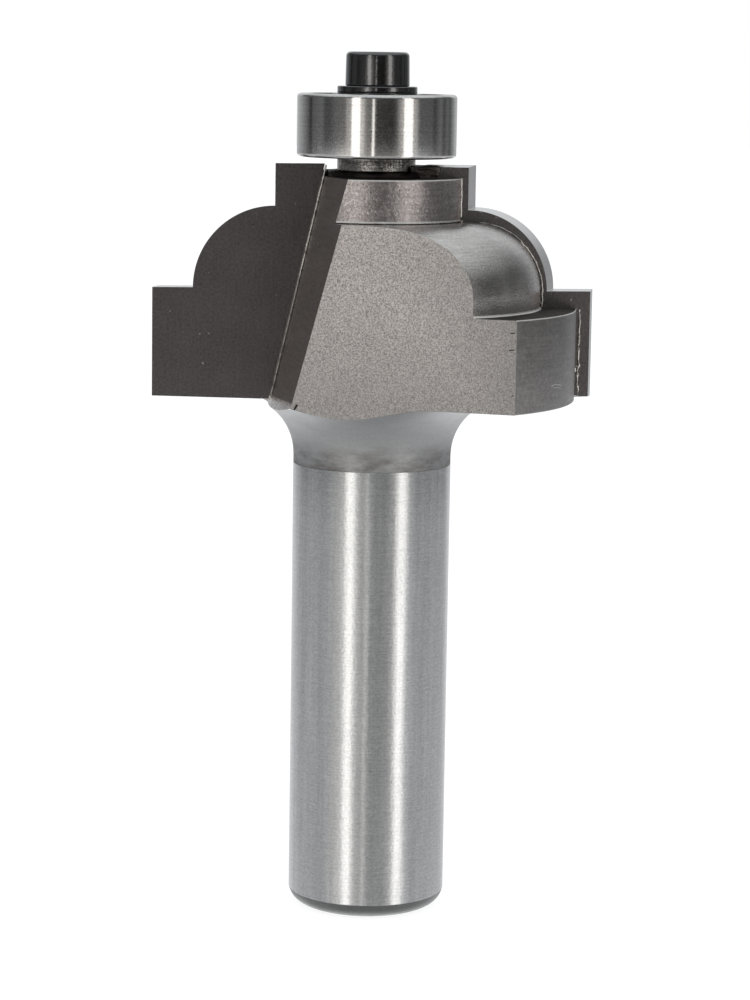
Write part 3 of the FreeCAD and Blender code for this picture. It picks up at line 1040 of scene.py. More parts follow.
@dataclass
class Shank:
    """The ground half-inch shank with its chamfered end.

    Attributes:
        sizes: Sizes that it shares with the head.
        chamfer: Height and width of the chamfer.
        bulge: How far the chamfer's middle stands out.
        edge: Radius of the chamfer's two edges.
        ground_top: Height up to which the shank is ground.
        runs: Straight runs in the chamfer, and rings in the cylinder.
        facets: Facets round the axis.
    """

    sizes: HeadSizes
    chamfer: float = 1.25
    bulge: float = 0.27
    edge: float = 0.12
    ground_top: float = 36.42
    runs: int = 8
    facets: int = 256

    def build(self, ground: bpy.types.Material, chamfered: bpy.types.Material) -> None:
        """Turn the shank and dress it.

        Args:
            ground: Finish of the ground cylinder.
            chamfered: Finish of the chamfer and the end face.
        """
        radius = self.sizes.shank_radius
        outline = Profile().to(0.0, 0.0).to(radius - self.chamfer, 0.0, self.edge)
        for step in range(1, self.runs):
            share = step / self.runs
            swell = 4.0 * self.bulge * share * (1.0 - share) * math.sqrt(0.5)
            outline.to(radius - self.chamfer * (1.0 - share) + swell, self.chamfer * share - swell)
        outline.to(radius, self.chamfer, self.edge)
        for ring in range(1, self.runs):
            outline.to(radius, self.chamfer + (self.ground_top - self.chamfer) * ring / self.runs)
        outline.to(radius, self.ground_top, 0.03).to(0.0, self.ground_top)
        piece = Bench.turn("ground_shank", outline.path(), self.facets)
        Bench.smooth(piece, 25.0)
        Bench.dress(piece, [ground, chamfered], lambda centre, normal: int(centre.z < self.chamfer - 0.02))
        Bench.hand_over(piece, Body.CUTTER, Slot.BODY_STEEL, "cutter_body")


@dataclass
class WingedHead:
    """The flare, the two milled wings, the hub and the bearing's spigot.

    Attributes:
        sizes: Sizes that it shares with the other pieces.
        facets: Facets round the axis.
        rounding: Radius of the turned edges.
        relief: How far the neck under the flare lies below the ground shank.
        ground_top: Height where the ground shank ends.
        broken_edge: Width of the milled edges' bevel.
        flat_height: Height of the block that mills a relief flat.
        groove_height: Height of the groove between dome and hub.
        groove_depth: Depth of that groove.
        lip: How far the hub's foot stands out above the groove.
        lip_rise: Height of the lip's underside.
        rim_band: Width of the painted highlight band along the rim's top edge.
        foot_band: Width of the painted highlight band along the dome's foot.
        hub_band: Width of the painted highlight band along the hub's top edge.
    """

    sizes: HeadSizes
    facets: int = 240
    rounding: float = 0.10
    relief: float = 0.008
    ground_top: float = 36.42
    broken_edge: float = 0.022
    flat_height: float = 26.0
    groove_height: float = 0.07
    groove_depth: float = 0.02
    lip: float = 0.08
    lip_rise: float = 0.02
    rim_band: float = 0.12
    foot_band: float = 0.22
    hub_band: float = 0.14

    def profile(self) -> list[Point]:
        """Give the turned outline of the head with its tapped hole."""
        sizes = self.sizes
        neck = sizes.shank_radius - self.relief
        outline = Profile().to(0.0, self.ground_top).to(neck, self.ground_top).to(neck, sizes.shank_height)
        flare_centre = (sizes.shank_radius + sizes.flare_radius, sizes.shank_height)
        outline.arc(flare_centre, sizes.flare_radius, 174.0, 90.0, 26)
        outline.to(sizes.rim_radius, sizes.underside, self.rounding)
        outline.to(sizes.rim_radius, sizes.ledge, self.rounding)
        outline.to(sizes.flank_radius, sizes.ledge, 0.2)
        shoulder = sizes.flank_radius - sizes.dome_radius
        outline.arc((shoulder, sizes.dome_foot), sizes.dome_radius, 0.0, 90.0, 32)
        dome_top = sizes.dome_foot + sizes.dome_radius
        groove = dome_top + self.groove_height
        groove_root = sizes.hub_radius - self.groove_depth
        outline.to(groove_root, dome_top, 0.04).to(groove_root, groove, 0.03)
        outline.to(sizes.hub_radius + self.lip, groove + self.lip_rise, 0.03)
        outline.to(sizes.hub_radius, groove + self.lip_rise + 2.0 * self.lip, 0.05)
        outline.to(sizes.hub_radius, sizes.hub_top, self.rounding)
        outline.to(sizes.neck_radius, sizes.hub_top, 0.15).to(sizes.neck_radius, sizes.neck_top, 0.03)
        outline.to(sizes.spigot_radius, sizes.neck_top)
        outline.to(sizes.spigot_radius, sizes.spigot_top, 0.15)
        outline.to(sizes.hole_radius, sizes.spigot_top).to(sizes.hole_radius, sizes.hole_bottom)
        outline.to(0.0, sizes.hole_point)
        return outline.path()

    def gullet_cutter(self, wall: bpy.types.Material) -> bpy.types.Object:
        """Model the wedge that is milled out in front of plate 1 and behind it for its seat.

        Args:
            wall: Finish of the milled wall.

        Returns:
            The cutter, in object mode.
        """
        sizes = self.sizes
        low, high = sizes.shank_height, sizes.neck_top + 2.0
        back = math.tan(math.radians(sizes.gullet_wall_angle)) * sizes.reach
        foot = sizes.corner_line(low)
        outline = [
            (foot, -sizes.seat_depth, low),
            (sizes.reach, -sizes.seat_depth, low),
            (sizes.reach, sizes.reach, low),
            (foot - back, sizes.reach, low),
            (foot, 0.0, low),
        ]
        cutter = Bench.slab("gullet_cutter", outline, (0.0, 0.0, high - low))
        Bench.pick_points(cutter, lambda point: point.z > high - 1.0 and point.x < sizes.reach - 1.0)
        Bench.shift((sizes.corner_line(high) - foot, 0.0, 0.0))
        Bench.put_right(cutter)
        Bench.dress(cutter, [wall])
        return cutter

    def flat_cutter(self, blasted: bpy.types.Material) -> bpy.types.Object:
        """Model the block that mills a relief flat.

        Args:
            blasted: Finish of the flat.

        Returns:
            The cutter, in object mode.
        """
        sizes = self.sizes
        turn = Matrix.Rotation(math.radians(sizes.flat_angle), 3, "Z")
        low = sizes.shank_height - 2.0
        corners = [
            (sizes.flat_offset, -sizes.reach, low),
            (sizes.reach, -sizes.reach, low),
            (sizes.reach, sizes.reach, low),
            (sizes.flat_offset, sizes.reach, low),
        ]
        outline = [tuple(turn @ Vector(corner)) for corner in corners]
        cutter = Bench.slab("flat_cutter", outline, (0.0, 0.0, self.flat_height))
        Bench.put_right(cutter)
        Bench.dress(cutter, [blasted])
        return cutter

    def region(self, centre: Vector, normal: Vector) -> Region:
        """Say which region of the head a turned face belongs to.

        Args:
            centre: The face's centre in millimetres.
            normal: The face's normal.

        Returns:
            The region. Edges with a painted highlight come first, then the faces from below upwards.
        """
        sizes = self.sizes
        dome_top = sizes.dome_foot + sizes.dome_radius
        across = centre.xy.length
        groove = dome_top + self.groove_height
        # Bands along the rim's top edge, the dome's foot and the hub's top edge take the near-white finish: a
        # painted highlight.
        if 0.15 < normal.z < 0.97:
            if across > sizes.rim_radius - self.rim_band and centre.z > sizes.ledge - self.rim_band:
                return Region.PAINTED_HIGHLIGHT_AND_SCRATCH
            if abs(across - sizes.flank_radius) < self.foot_band and centre.z < sizes.ledge + self.foot_band:
                return Region.PAINTED_HIGHLIGHT_AND_SCRATCH
            if abs(across - sizes.hub_radius) < self.hub_band and centre.z > groove:
                return Region.PAINTED_HIGHLIGHT_AND_SCRATCH
        if centre.z < sizes.underside - 0.01:
            return Region.FLARE
        # The ledge's upward faces take a darker finish: painted shade.
        if centre.z < sizes.ledge + 0.01:
            return Region.LEDGE if normal.z > 0.95 else Region.RIM
        if centre.z < dome_top + 0.01:
            return Region.DOME
        # The groove under the hub takes the near-black finish: painted shade.
        if centre.z < groove - 0.01:
            return Region.PAINTED_SHADE
        if across < sizes.neck_radius + 0.1:
            return Region.NECK
        # The hub's top takes the near-black finish too: painted shade.
        return Region.PAINTED_SHADE if centre.z > sizes.hub_top - 0.02 else Region.HUB

    def build(self, steels: dict[Region, bpy.types.Material], wall: bpy.types.Material,
              blasted: bpy.types.Material) -> None:
        """Turn the head, mill it and dress it.

        Args:
            steels: Finish of each region.
            wall: Finish of the gullet walls and seats.
            blasted: Finish of the relief flats.
        """
        piece = Bench.turn("winged_head", self.profile(), self.facets)
        Bench.dress(piece, [steels[region] for region in Region], self.region)
        for make, finish in ((self.flat_cutter, blasted), (self.gullet_cutter, wall)):
            first = make(finish)
            second = Bench.half_turn_copy(first, f"{first.name}_2")
            Bench.cut(piece, first)
            Bench.cut(piece, second)
        Bench.clear()
        bpy.context.view_layer.objects.active = piece
        bpy.ops.object.mode_set(mode="EDIT")
        bpy.ops.mesh.select_all(action="SELECT")
        bpy.ops.mesh.remove_doubles(threshold=0.02 * MM)
        bpy.ops.object.mode_set(mode="OBJECT")
        Bench.soften(piece, self.broken_edge, 1, 58.0)
        Bench.smooth(piece, 28.0)
        Bench.hand_over(piece, Body.CUTTER, Slot.BODY_STEEL, "cutter_body")


@dataclass
class CarbidePlates:
    """The two brazed cutting plates.

    Attributes:
        sizes: Sizes that they share with the head.
        cutting_radius: Distance of the cutting edge from the axis.
        thickness: The plates' thickness.
        step_height: Height of the flat step outside the arc.
        step_width: Width of that step.
        arc_radius: Radius of the cutting arc.
        top: Height of the plates' top.
        heel: Height of their lowest corner, beside the gullet's foot.
        seam: Gap to the gullet's wall.
        side_relief: Relief angle of the arc, in degrees.
        flank_relief: Relief angle of the outer flank, in degrees.
        top_relief: Relief angle of the top, in degrees.
        step_relief: Relief angle of the step, in degrees.
        heel_rise: How far the underside rises to the back.
        arc_runs: Straight runs in the arc.
        waist: Height that parts the lower corners from the upper ones.
        heel_side: Distance from the axis that parts the heel from the lower outer corner.
        step_side: Distance from the axis beyond which the step's points lie.
        hub_part: Height above which the seam's upper end lies.
        seam_side: Width of the strip along the seam at the top.
    """

    sizes: HeadSizes
    cutting_radius: float = 17.78
    thickness: float = 2.0
    step_height: float = 50.5
    step_width: float = 3.22
    arc_radius: float = 6.5
    top: float = 60.36
    heel: float = 41.53
    seam: float = 0.2
    side_relief: float = 24.5
    flank_relief: float = 16.0
    top_relief: float = 3.5
    step_relief: float = 1.0
    heel_rise: float = 0.17
    arc_runs: int = 56
    waist: float = 45.0
    heel_side: float = 10.0
    step_side: float = 13.4
    hub_part: float = 55.0
    seam_side: float = 1.5

    def outline(self) -> list[Point]:
        """Give the cutting face's outline."""
        sizes = self.sizes
        seam = self.seam / math.cos(math.radians(sizes.gullet_lean))
        arc_outer = self.cutting_radius - self.step_width
        arc_centre = arc_outer - self.arc_radius
        outline = Profile().to(sizes.corner_line(self.heel) + seam, self.heel)
        outline.to(self.cutting_radius, sizes.underside).to(self.cutting_radius, self.step_height)
        outline.arc((arc_centre, self.step_height), self.arc_radius, 0.0, 90.0, self.arc_runs)
        outline.to(arc_centre, self.top).to(sizes.corner_line(self.top) + seam, self.top)
        return outline.path(closed=True)

    def setback(self, angle: float) -> float:
        """Give how far a face that leans by an angle in degrees falls back over the thickness."""
        return self.thickness * math.tan(math.radians(angle))

    def move_back_face(self, piece: bpy.types.Object, test: Callable[[Vector], bool], move: Triple) -> None:
        """Move points of plate 1's back face.

        Args:
            piece: The plate, in edit mode.
            test: Takes a point in millimetres and says whether it moves.
            move: The move in millimetres.
        """
        Bench.pick_points(piece, lambda point: point.y < -self.thickness / 2 and test(point))
        Bench.shift(move)

    def relieve(self, piece: bpy.types.Object, inner: float) -> None:
        """Draw plate 1's back face in, so that each side is relieved by its own angle.

        Args:
            piece: The plate, in edit mode.
            inner: Distance from the axis that parts the seam's side from the cutting side.
        """
        inward, down = -self.setback(self.side_relief), -self.setback(self.top_relief)
        flank = self.setback(self.side_relief) - self.setback(self.flank_relief)
        lift = self.setback(self.top_relief) - self.setback(self.step_relief)
        lean = math.tan(math.radians(self.sizes.gullet_lean))
        waist, step = self.waist, self.step_height
        self.move_back_face(piece, lambda p: p.z > waist, (0.0, 0.0, down))
        self.move_back_face(piece, lambda p: p.z < waist, (0.0, 0.0, self.heel_rise))
        self.move_back_face(piece, lambda p: p.x > inner and (p.x > self.heel_side or p.z > waist),
                            (inward, 0.0, 0.0))
        self.move_back_face(piece, lambda p: p.x > self.cutting_radius + inward - 0.1, (flank, 0.0, 0.0))
        self.move_back_face(piece, lambda p: p.x > self.step_side and waist < p.z < step, (0.0, 0.0, lift))
        self.move_back_face(piece, lambda p: p.x < inner and p.z > self.hub_part, (-down * lean, 0.0, 0.0))

    def build(self, carbide: bpy.types.Material, honed: bpy.types.Material) -> None:
        """Model plate 1 from its face back to its relief and copy it.

        Args:
            carbide: Finish of the plates' faces.
            honed: Finish of the narrow relief behind the cutting edge.
        """
        outline = [(across, 0.0, up) for across, up in self.outline()]
        piece = Bench.slab("carbide_plate_1", outline, (0.0, -self.thickness, 0.0))
        inner = self.sizes.corner_line(self.top) + self.seam_side
        self.relieve(piece, inner)
        Bench.put_right(piece)
        Bench.soften(piece, 0.02, 1, 30.0)
        Bench.smooth(piece, 20.0)
        Bench.dress(piece, [carbide, honed],
                    lambda centre, normal: int(abs(normal.y) < 0.9 and centre.x > inner))
        twin = Bench.half_turn_copy(piece, "carbide_plate_2")
        Bench.hand_over(piece, Body.CUTTER, Slot.CARBIDE, "carbide_tip_1")
        Bench.hand_over(twin, Body.CUTTER, Slot.CARBIDE, "carbide_tip_2")


@dataclass
class WavyBead:
    """A thin round bead along a wandering line, made on one wing and copied to the other.

    Attributes:
        name: The bead's name without its number.
        corners: The line that it follows, in millimetres.
        radius: Its radius.
        swell: Smallest and largest share of the radius that is there.
        seed: Number that fixes its waves.
        sway: How far it wanders, as a share of its radius.
        slot: Material slot that it stands for.
        run: Length of the short runs that it is divided into.
    """

    name: str
    corners: list[Vector]
    radius: float
    swell: Point
    seed: int
    sway: float = 0.35
    slot: Slot = Slot.SILVER_BRAZE
    run: float = 0.22

    def wander(self) -> list[Triple]:
        """Divide the line into short runs and let it wander a little."""
        draw = random.Random(self.seed)
        sway = self.radius * self.sway
        points = []
        for start, end in zip(self.corners, self.corners[1:]):
            runs = max(1, round((end - start).length / self.run))
            for step in range(runs):
                across, along = draw.uniform(-sway, sway), draw.uniform(-sway, sway) / 2
                side = Vector((across, along, draw.uniform(-sway, sway)))
                points.append(tuple(start.lerp(end, step / runs) + side))
        points.append(tuple(self.corners[-1]))
        return points

    def build(self, finish: bpy.types.Material) -> None:
        """Model the bead, dress it and copy it by half a turn.

        Args:
            finish: Finish of the bead.
        """
        # A seed of its own, so that the swelling doesn't repeat the wandering.
        draw = random.Random(self.seed + 50)
        Bench.start_line(f"{self.name}_1", self.wander())
        bpy.ops.object.mode_set(mode="OBJECT")
        bpy.ops.object.convert(target="CURVE")
        curve = bpy.context.object
        curve.data.bevel_depth = self.radius * MM
        curve.data.bevel_resolution = 2
        curve.data.use_fill_caps = True
        for point in curve.data.splines[0].points:
            point.radius = draw.uniform(*self.swell)
        bpy.ops.object.convert(target="MESH")
        piece = bpy.context.object
        Bench.smooth(piece, 70.0)
        Bench.dress(piece, [finish])
        twin = Bench.half_turn_copy(piece, f"{self.name}_2")
        Bench.hand_over(piece, Body.CUTTER, self.slot)
        Bench.hand_over(twin, Body.CUTTER, self.slot)


@dataclass
class BrazeBeads:
    """The beads of silver braze behind each plate, and the bright line of it in front.

    Attributes:
        sizes: Sizes that they share with the head.
        film: How far behind the cutting face the beads lie.
        proud: How far the dome's bead stands out at its top.
        dome_runs: Straight runs in the dome's bead.
        rim_runs: Straight runs in the rim's bead.
    """

    sizes: HeadSizes
    film: float = 2.06
    proud: float = 0.04
    dome_runs: int = 12
    rim_runs: int = 14

    def on_wing(self, radius: float, height: float, proud: float) -> Vector:
        """Give the place on the wing's round surface, right behind plate 1.

        Args:
            radius: The surface's radius.
            height: Height above the shank's end.
            proud: How far the place stands out of the surface.

        Returns:
            The place in millimetres.
        """
        return Vector((math.sqrt(radius * radius - self.film * self.film) + proud, -self.film, height))

    def hub_line(self) -> list[Vector]:
        """Give the corners of the bead beside the hub."""
        sizes = self.sizes
        foot = sizes.dome_foot + sizes.dome_radius + 0.4
        return [self.on_wing(sizes.hub_radius, height, 0.05) for height in (sizes.hub_top, foot)]

    def dome_line(self, start: float, end: float) -> list[Vector]:
        """Give the corners of the bead over the dome.

        Args:
            start: Angle on the dome's arc where the bead starts, in degrees.
            end: Angle where it ends.

        Returns:
            The corners, which stand out further towards the dome's foot.
        """
        sizes = self.sizes
        shoulder = sizes.flank_radius - sizes.dome_radius
        arc_radius = sizes.dome_radius + self.proud
        corners = []
        for step in range(self.dome_runs + 1):
            share = step / self.dome_runs
            angle = math.radians(start + (end - start) * share)
            radius = shoulder + arc_radius * math.cos(angle)
            height = sizes.dome_foot + arc_radius * math.sin(angle)
            corners.append(self.on_wing(radius, height, self.proud + 0.12 * share))
        corners.append(self.on_wing(sizes.flank_radius, sizes.ledge + 0.1, 0.18))
        return corners

    def rim_line(self) -> list[Vector]:
        """Give the corners of the wavy bead beside the rim, hooked at its foot."""
        sizes = self.sizes
        draw = random.Random(11)
        corners = []
        for step in range(self.rim_runs + 1):
            height = sizes.ledge - 0.1 - (sizes.ledge - sizes.underside - 0.3) * step / self.rim_runs
            corners.append(self.on_wing(sizes.rim_radius, height, 0.32 + draw.uniform(-0.06, 0.08)))
        corners.append(corners[-1] + Vector((-0.32, 0.0, 0.06)))
        return corners

    def front_line(self, top: float, bottom: float) -> list[Vector]:
        """Give the corners of the line in the corner between gullet wall and plate 1.

        Args:
            top: Height where it starts.
            bottom: Height where it ends.

        Returns:
            Its two corners.
        """
        return [Vector((self.sizes.corner_line(height) + 0.08, 0.01, height)) for height in (top, bottom)]

    def build(self, silver: bpy.types.Material, dull: bpy.types.Material) -> None:
        """Model all the beads.

        Args:
            silver: Finish of the bright beads.
            dull: Finish of the thin, oxidised ones.
        """
        hub, rim = self.sizes.hub_radius, self.sizes.rim_radius
        foot = self.sizes.dome_foot + self.sizes.dome_radius
        hub_foot_line = [self.on_wing(hub, foot + 0.16, 0.06), self.on_wing(hub, foot - 0.04, 0.12)]
        fleck_line = [self.on_wing(rim, 44.3, 0.06), self.on_wing(rim, 44.0, 0.1)]
        bright_beads = [
            WavyBead("hub_bead", self.hub_line(), 0.10, (0.9, 1.1), 1, 0.15),
            WavyBead("hub_foot_bead", hub_foot_line, 0.12, (0.7, 1.1), 2),
            WavyBead("dome_bead", self.dome_line(46.0, 0.0), 0.075, (0.55, 1.1), 3),
            WavyBead("rim_bead", self.rim_line(), 0.10, (0.05, 1.25), 4, 0.25),
            WavyBead("rim_fleck", fleck_line, 0.13, (0.7, 1.1), 8),
            WavyBead("seam_line", self.front_line(60.25, 51.4), 0.08, (0.9, 1.06), 5, 0.08),
        ]
        dull_threads = [
            WavyBead("seam_thread", self.front_line(51.4, 41.9), 0.06, (0.75, 1.1), 6, 0.15),
            WavyBead("dome_thread", self.dome_line(84.0, 47.0), 0.045, (0.5, 1.2), 7),
        ]
        for bead in bright_beads:
            bead.build(silver)
        for thread in dull_threads:
            thread.build(dull)


@dataclass
class PaintedShadeFillers:
    """A near-black ring round the neck's foot and a near-black lump beside each plate: painted shade where
    the hub's top lies in shade.

    Attributes:
        sizes: Sizes that it shares with the head.
        ring_radius: Outer radius of the ring round the neck.
        ring_top: Height of the ring's top.
        fillet_reach: Distance from the axis that the lumps reach.
        fillet_back: How far behind the cutting face the lumps end.
        fillet_front: How far behind it they start.
        fillet_inner: Inner edge of the lumps at their back and at their front.
        fillet_tops: Height of each lump's top.
    """

    sizes: HeadSizes
    ring_radius: float = 4.0
    ring_top: float = 59.86
    fillet_reach: float = 4.85
    fillet_back: float = 2.35
    fillet_front: float = 0.4
    fillet_inner: Point = (2.45, 2.15)
    fillet_tops: Point = (60.32, 59.82)

    def build_ring(self, shade_and_speck_black: bpy.types.Material) -> None:
        """Turn the near-black ring of painted shade at the neck's foot and make it lumpy.

        Args:
            shade_and_speck_black: Near-black finish of the ring, painted shade.
        """
        sizes = self.sizes
        inner, foot = sizes.neck_radius - 0.1, sizes.hub_top - 0.06
        outline = Profile().to(inner, foot).to(self.ring_radius, foot, 0.1)
        outline.to(self.ring_radius - 0.2, self.ring_top, 0.22).to(inner, self.ring_top + 0.08)
        path = outline.path(closed=True)
        piece = Bench.turn("neck_shade_ring", [*path, path[0]], 64)
        Bench.roughen(piece, 0.07, 3)
        Bench.dress(piece, [shade_and_speck_black])
        Bench.hand_over(piece, Body.CUTTER, Slot.BODY_STEEL)

    def build_fillet(self, name: str, top: float, seed: int, shade_and_speck_black: bpy.types.Material) -> bpy.types.Object:
        """Model the near-black lump between the neck and plate 1's back, painted shade.

        Args:
            name: The lump's name.
            top: Height of its top.
            seed: Number that fixes its shape.
            shade_and_speck_black: Near-black finish of the lump, painted shade.

        Returns:
            The lump.
        """
        foot = self.sizes.hub_top - 0.1
        outline = [
            (self.fillet_inner[0], -self.fillet_back, foot),
            (self.fillet_reach, -self.fillet_back, foot),
            (self.fillet_reach, -self.fillet_front, foot),
            (self.fillet_inner[1], -self.fillet_front, foot),
        ]
        piece = Bench.slab(name, outline, (0.0, 0.0, top - foot))
        bpy.ops.mesh.select_all(action="SELECT")
        bpy.ops.mesh.subdivide(number_cuts=7)
        Bench.put_right(piece)
        Bench.roughen(piece, 0.12, seed)
        Bench.dress(piece, [shade_and_speck_black])
        return piece

    def build(self, shade_and_speck_black: bpy.types.Material, shade_lumps: bpy.types.Material) -> None:
        """Model all the near-black pieces of painted shade.

        Args:
            shade_and_speck_black: Finish of the ring round the neck.
            shade_lumps: Finish of the lumps beside the plates.
        """
        self.build_ring(shade_and_speck_black)
        high = self.build_fillet("shade_fillet_1", self.fillet_tops[0], 5, shade_lumps)
        Bench.hand_over(high, Body.CUTTER, Slot.BODY_STEEL)
        low = self.build_fillet("shade_fillet_start", self.fillet_tops[1], 6, shade_lumps)
        turned = Bench.half_turn_copy(low, "shade_fillet_2")
        bpy.data.objects.remove(low)
        Bench.hand_over(turned, Body.CUTTER, Slot.BODY_STEEL)


@dataclass
class HandlingMarks:
    """Burnt specks at the edges of each relief flat and scratches on each rim.

    Attributes:
        sizes: Sizes that they share with the head.
        flat_azimuth: Direction that the relief flat in view faces, in degrees.
        speck_side: Distance of the specks' outer end from the flat's middle.
        upper_scratch: Direction in degrees and height of each point of a scratch.
        lower_scratch: The same for the scratch below it.
    """

    sizes: HeadSizes
    flat_azimuth: float = 245.0
    speck_side: float = 13.83
    upper_scratch: tuple[Point, ...] = ((321.5, 43.72), (323.5, 43.80), (326.0, 43.72), (328.5, 43.6))
    lower_scratch: tuple[Point, ...] = ((323.0, 43.56), (325.5, 43.5), (328.0, 43.38))

    def on_flat(self, across: float, height: float) -> Vector:
        """Give a place on the relief flat that the photograph shows.

        Args:
            across: Distance to the right of the flat's middle, in millimetres.
            height: Height above the shank's end.

        Returns:
            The place in millimetres.
        """
        turn = Matrix.Rotation(math.radians(self.flat_azimuth), 3, "Z")
        return turn @ Vector((self.sizes.flat_offset, across, height))

    def on_rim(self, azimuth: float, height: float) -> Vector:
        """Give a place on the rim's round surface.

        Args:
            azimuth: Its direction from the axis, in degrees.
            height: Height above the shank's end.

        Returns:
            The place in millimetres.
        """
        turn = Matrix.Rotation(math.radians(azimuth), 3, "Z")
        return turn @ Vector((self.sizes.rim_radius, 0.0, height))

    def build(self, burnt: bpy.types.Material, bright: bpy.types.Material) -> None:
        """Model all the marks.

        Args:
            burnt: Finish of the specks and the burr.
            bright: Finish of the scratches.
        """
        steel = Slot.BODY_STEEL
        specks = {"upper": (48.1, 0.36), "middle": (46.8, 0.42), "lower": (43.3, 0.16)}
        for number, (name, (height, length)) in enumerate(specks.items()):
            line = [
                self.on_flat(self.speck_side - 0.01 - length, height),
                self.on_flat(self.speck_side, height + 0.03),
            ]
            WavyBead(f"edge_speck_{name}", line, 0.05, (0.7, 1.0), 20 + number, 0.3, steel).build(burnt)
        burr = [self.on_flat(-3.66, 41.78), self.on_flat(-3.88, 41.36)]
        WavyBead("gullet_burr", burr, 0.10, (0.6, 1.1), 24, 0.2, steel).build(burnt)
        upper = [self.on_rim(*place) for place in self.upper_scratch]
        lower = [self.on_rim(*place) for place in self.lower_scratch]
        WavyBead("rim_scratch_upper", upper, 0.03, (0.3, 1.1), 26, 0.2, steel).build(bright)
        WavyBead("rim_scratch_lower", lower, 0.025, (0.3, 1.1), 27, 0.2, steel).build(bright)


@dataclass
class GuideBearing:
    """The ball bearing's outer ring. The bearing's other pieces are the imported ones.

    Attributes:
        bottom: Height of its lower face.
        width: Its width along the axis.
        radius: Its outer radius.
        corner: Radius of its outer corners.
        seat: Radius of the shields' seat.
        land: Radius of the land beside the raceway.
        shield_depth: Depth of a shield below the face.
        shield_thickness: Thickness of a shield.
        snap_root: Radius of the snap ring's groove.
        snap_low: Depth of that groove's outer side below the face.
        groove_half: Half the raceway's width.
        groove_radius: Radius of the raceway's section.
        groove_centre: Distance of that section's centre from the axis.
        facets: Facets round the axis.
    """

    bottom: float = 60.9
    width: float = 4.978
    radius: float = 6.35
    corner: float = 0.3
    seat: float = 5.5
    land: float = 5.12
    shield_depth: float = 0.35
    shield_thickness: float = 0.2
    snap_root: float = 5.62
    snap_low: float = 0.11
    groove_half: float = 0.955
    groove_radius: float = 1.238
    groove_centre: float = 4.338
    facets: int = 256

    def ring_outline(self) -> list[Point]:
        """Give the outer ring's closed outline, from its bottom face round to the groove."""
        low, high = self.bottom, self.bottom + self.width
        middle = (low + high) / 2
        shoulder = self.shield_depth + self.shield_thickness
        outline = Profile().to(self.seat, low, 0.04).to(self.radius, low, self.corner)
        outline.to(self.radius, high, self.corner).to(self.seat, high, 0.04)
        outline.to(self.seat, high - self.snap_low).to(self.snap_root, high - self.snap_low)
        outline.to(self.snap_root, high - self.shield_depth).to(self.seat, high - self.shield_depth)
        outline.to(self.seat, high - shoulder).to(self.land, high - shoulder)
        sweep = math.degrees(math.asin(self.groove_half / self.groove_radius))
        outline.arc((self.groove_centre, middle), self.groove_radius, sweep, -sweep, 12)
        outline.to(self.land, low + shoulder).to(self.seat, low + shoulder)
        outline.to(self.seat, low + self.shield_depth).to(self.snap_root, low + self.shield_depth)
        outline.to(self.snap_root, low + self.snap_low).to(self.seat, low + self.snap_low)
        path = outline.path(closed=True, steps=6)
        return [*path, path[0]]

    def build(self, polished: bpy.types.Material) -> None:
        """Turn the ring and dress it.

        Args:
            polished: Finish of the ring.
        """
        ring = Bench.turn("polished_outer_ring", self.ring_outline(), self.facets)
        Bench.smooth(ring, 30.0)
        Bench.dress(ring, [polished])
        Bench.hand_over(ring, Body.OUTER_RACE, Slot.BEARING_STEEL, "bearing_outer_ring")


@dataclass
class ClampScrew:
    """The black washer and the hexagon-socket cap screw."""

    washer_bottom: float = 65.878
    washer_thickness: float = 0.6
    washer_radius: float = 3.175
    washer_bore: float = 1.7075
    head_radius: float = 2.55
    head_height: float = 2.7
    head_rounding: float = 0.35
    head_taper: float = 0.05
    thread_radius: float = 1.5775
    screw_length: float = 8.0
    point_chamfer: float = 0.4
    socket_flats: float = 2.38
    socket_depth: float = 1.3
    facets: int = 192

    def build(self, black: bpy.types.Material) -> None:
        """Model the washer and the screw.

        Args:
            black: Finish of both.
        """
        self.build_washer(black)
        self.build_screw(black)

    def build_washer(self, black: bpy.types.Material) -> None:
        """Turn the washer.

        Args:
            black: Finish of the washer.
        """
        low, high = self.washer_bottom, self.washer_bottom + self.washer_thickness
        outline = Profile().to(self.washer_bore, low, 0.05).to(self.washer_radius, low, 0.09)
        outline.to(self.washer_radius, high, 0.09).to(self.washer_bore, high, 0.05)
        path = outline.path(closed=True)
        piece = Bench.turn("clamp_washer", [*path, path[0]], self.facets)
        Bench.smooth(piece, 30.0)
        Bench.dress(piece, [black])
        Bench.hand_over(piece, Body.CUTTER, Slot.BLACK_OXIDE, "washer")

    def build_screw(self, black: bpy.types.Material) -> None:
        """Turn the screw and cut its socket.

        Args:
            black: Finish of the screw.
        """
        seat = self.washer_bottom + self.washer_thickness
        top = seat + self.head_height
        end = seat - self.screw_length
        outline = Profile().to(0.0, end).to(self.thread_radius - self.point_chamfer, end)
        outline.to(self.thread_radius, end + self.point_chamfer).to(self.thread_radius, seat)
        outline.to(self.head_radius, seat, 0.14)
        outline.to(self.head_radius - self.head_taper, top, self.head_rounding).to(0.0, top)
        piece = Bench.turn("socket_cap_screw", outline.path(steps=7), self.facets)
        Bench.dress(piece, [black])
        corner = self.socket_flats / 2 / math.cos(math.radians(30.0))
        hexagon = []
        for side in range(6):
            angle = math.radians(60.0 * side)
            hexagon.append((corner * math.cos(angle), corner * math.sin(angle), top + 1.0))
        socket = Bench.slab("socket_cutter", hexagon, (0.0, 0.0, -self.socket_depth - 1.0))
        Bench.put_right(socket)
        Bench.dress(socket, [black])
        Bench.cut(piece, socket)
        Bench.soften(piece, 0.05, 2, 45.0)
        Bench.smooth(piece, 30.0)
        Bench.hand_over(piece, Body.CUTTER, Slot.BLACK_OXIDE, "cap_screw")


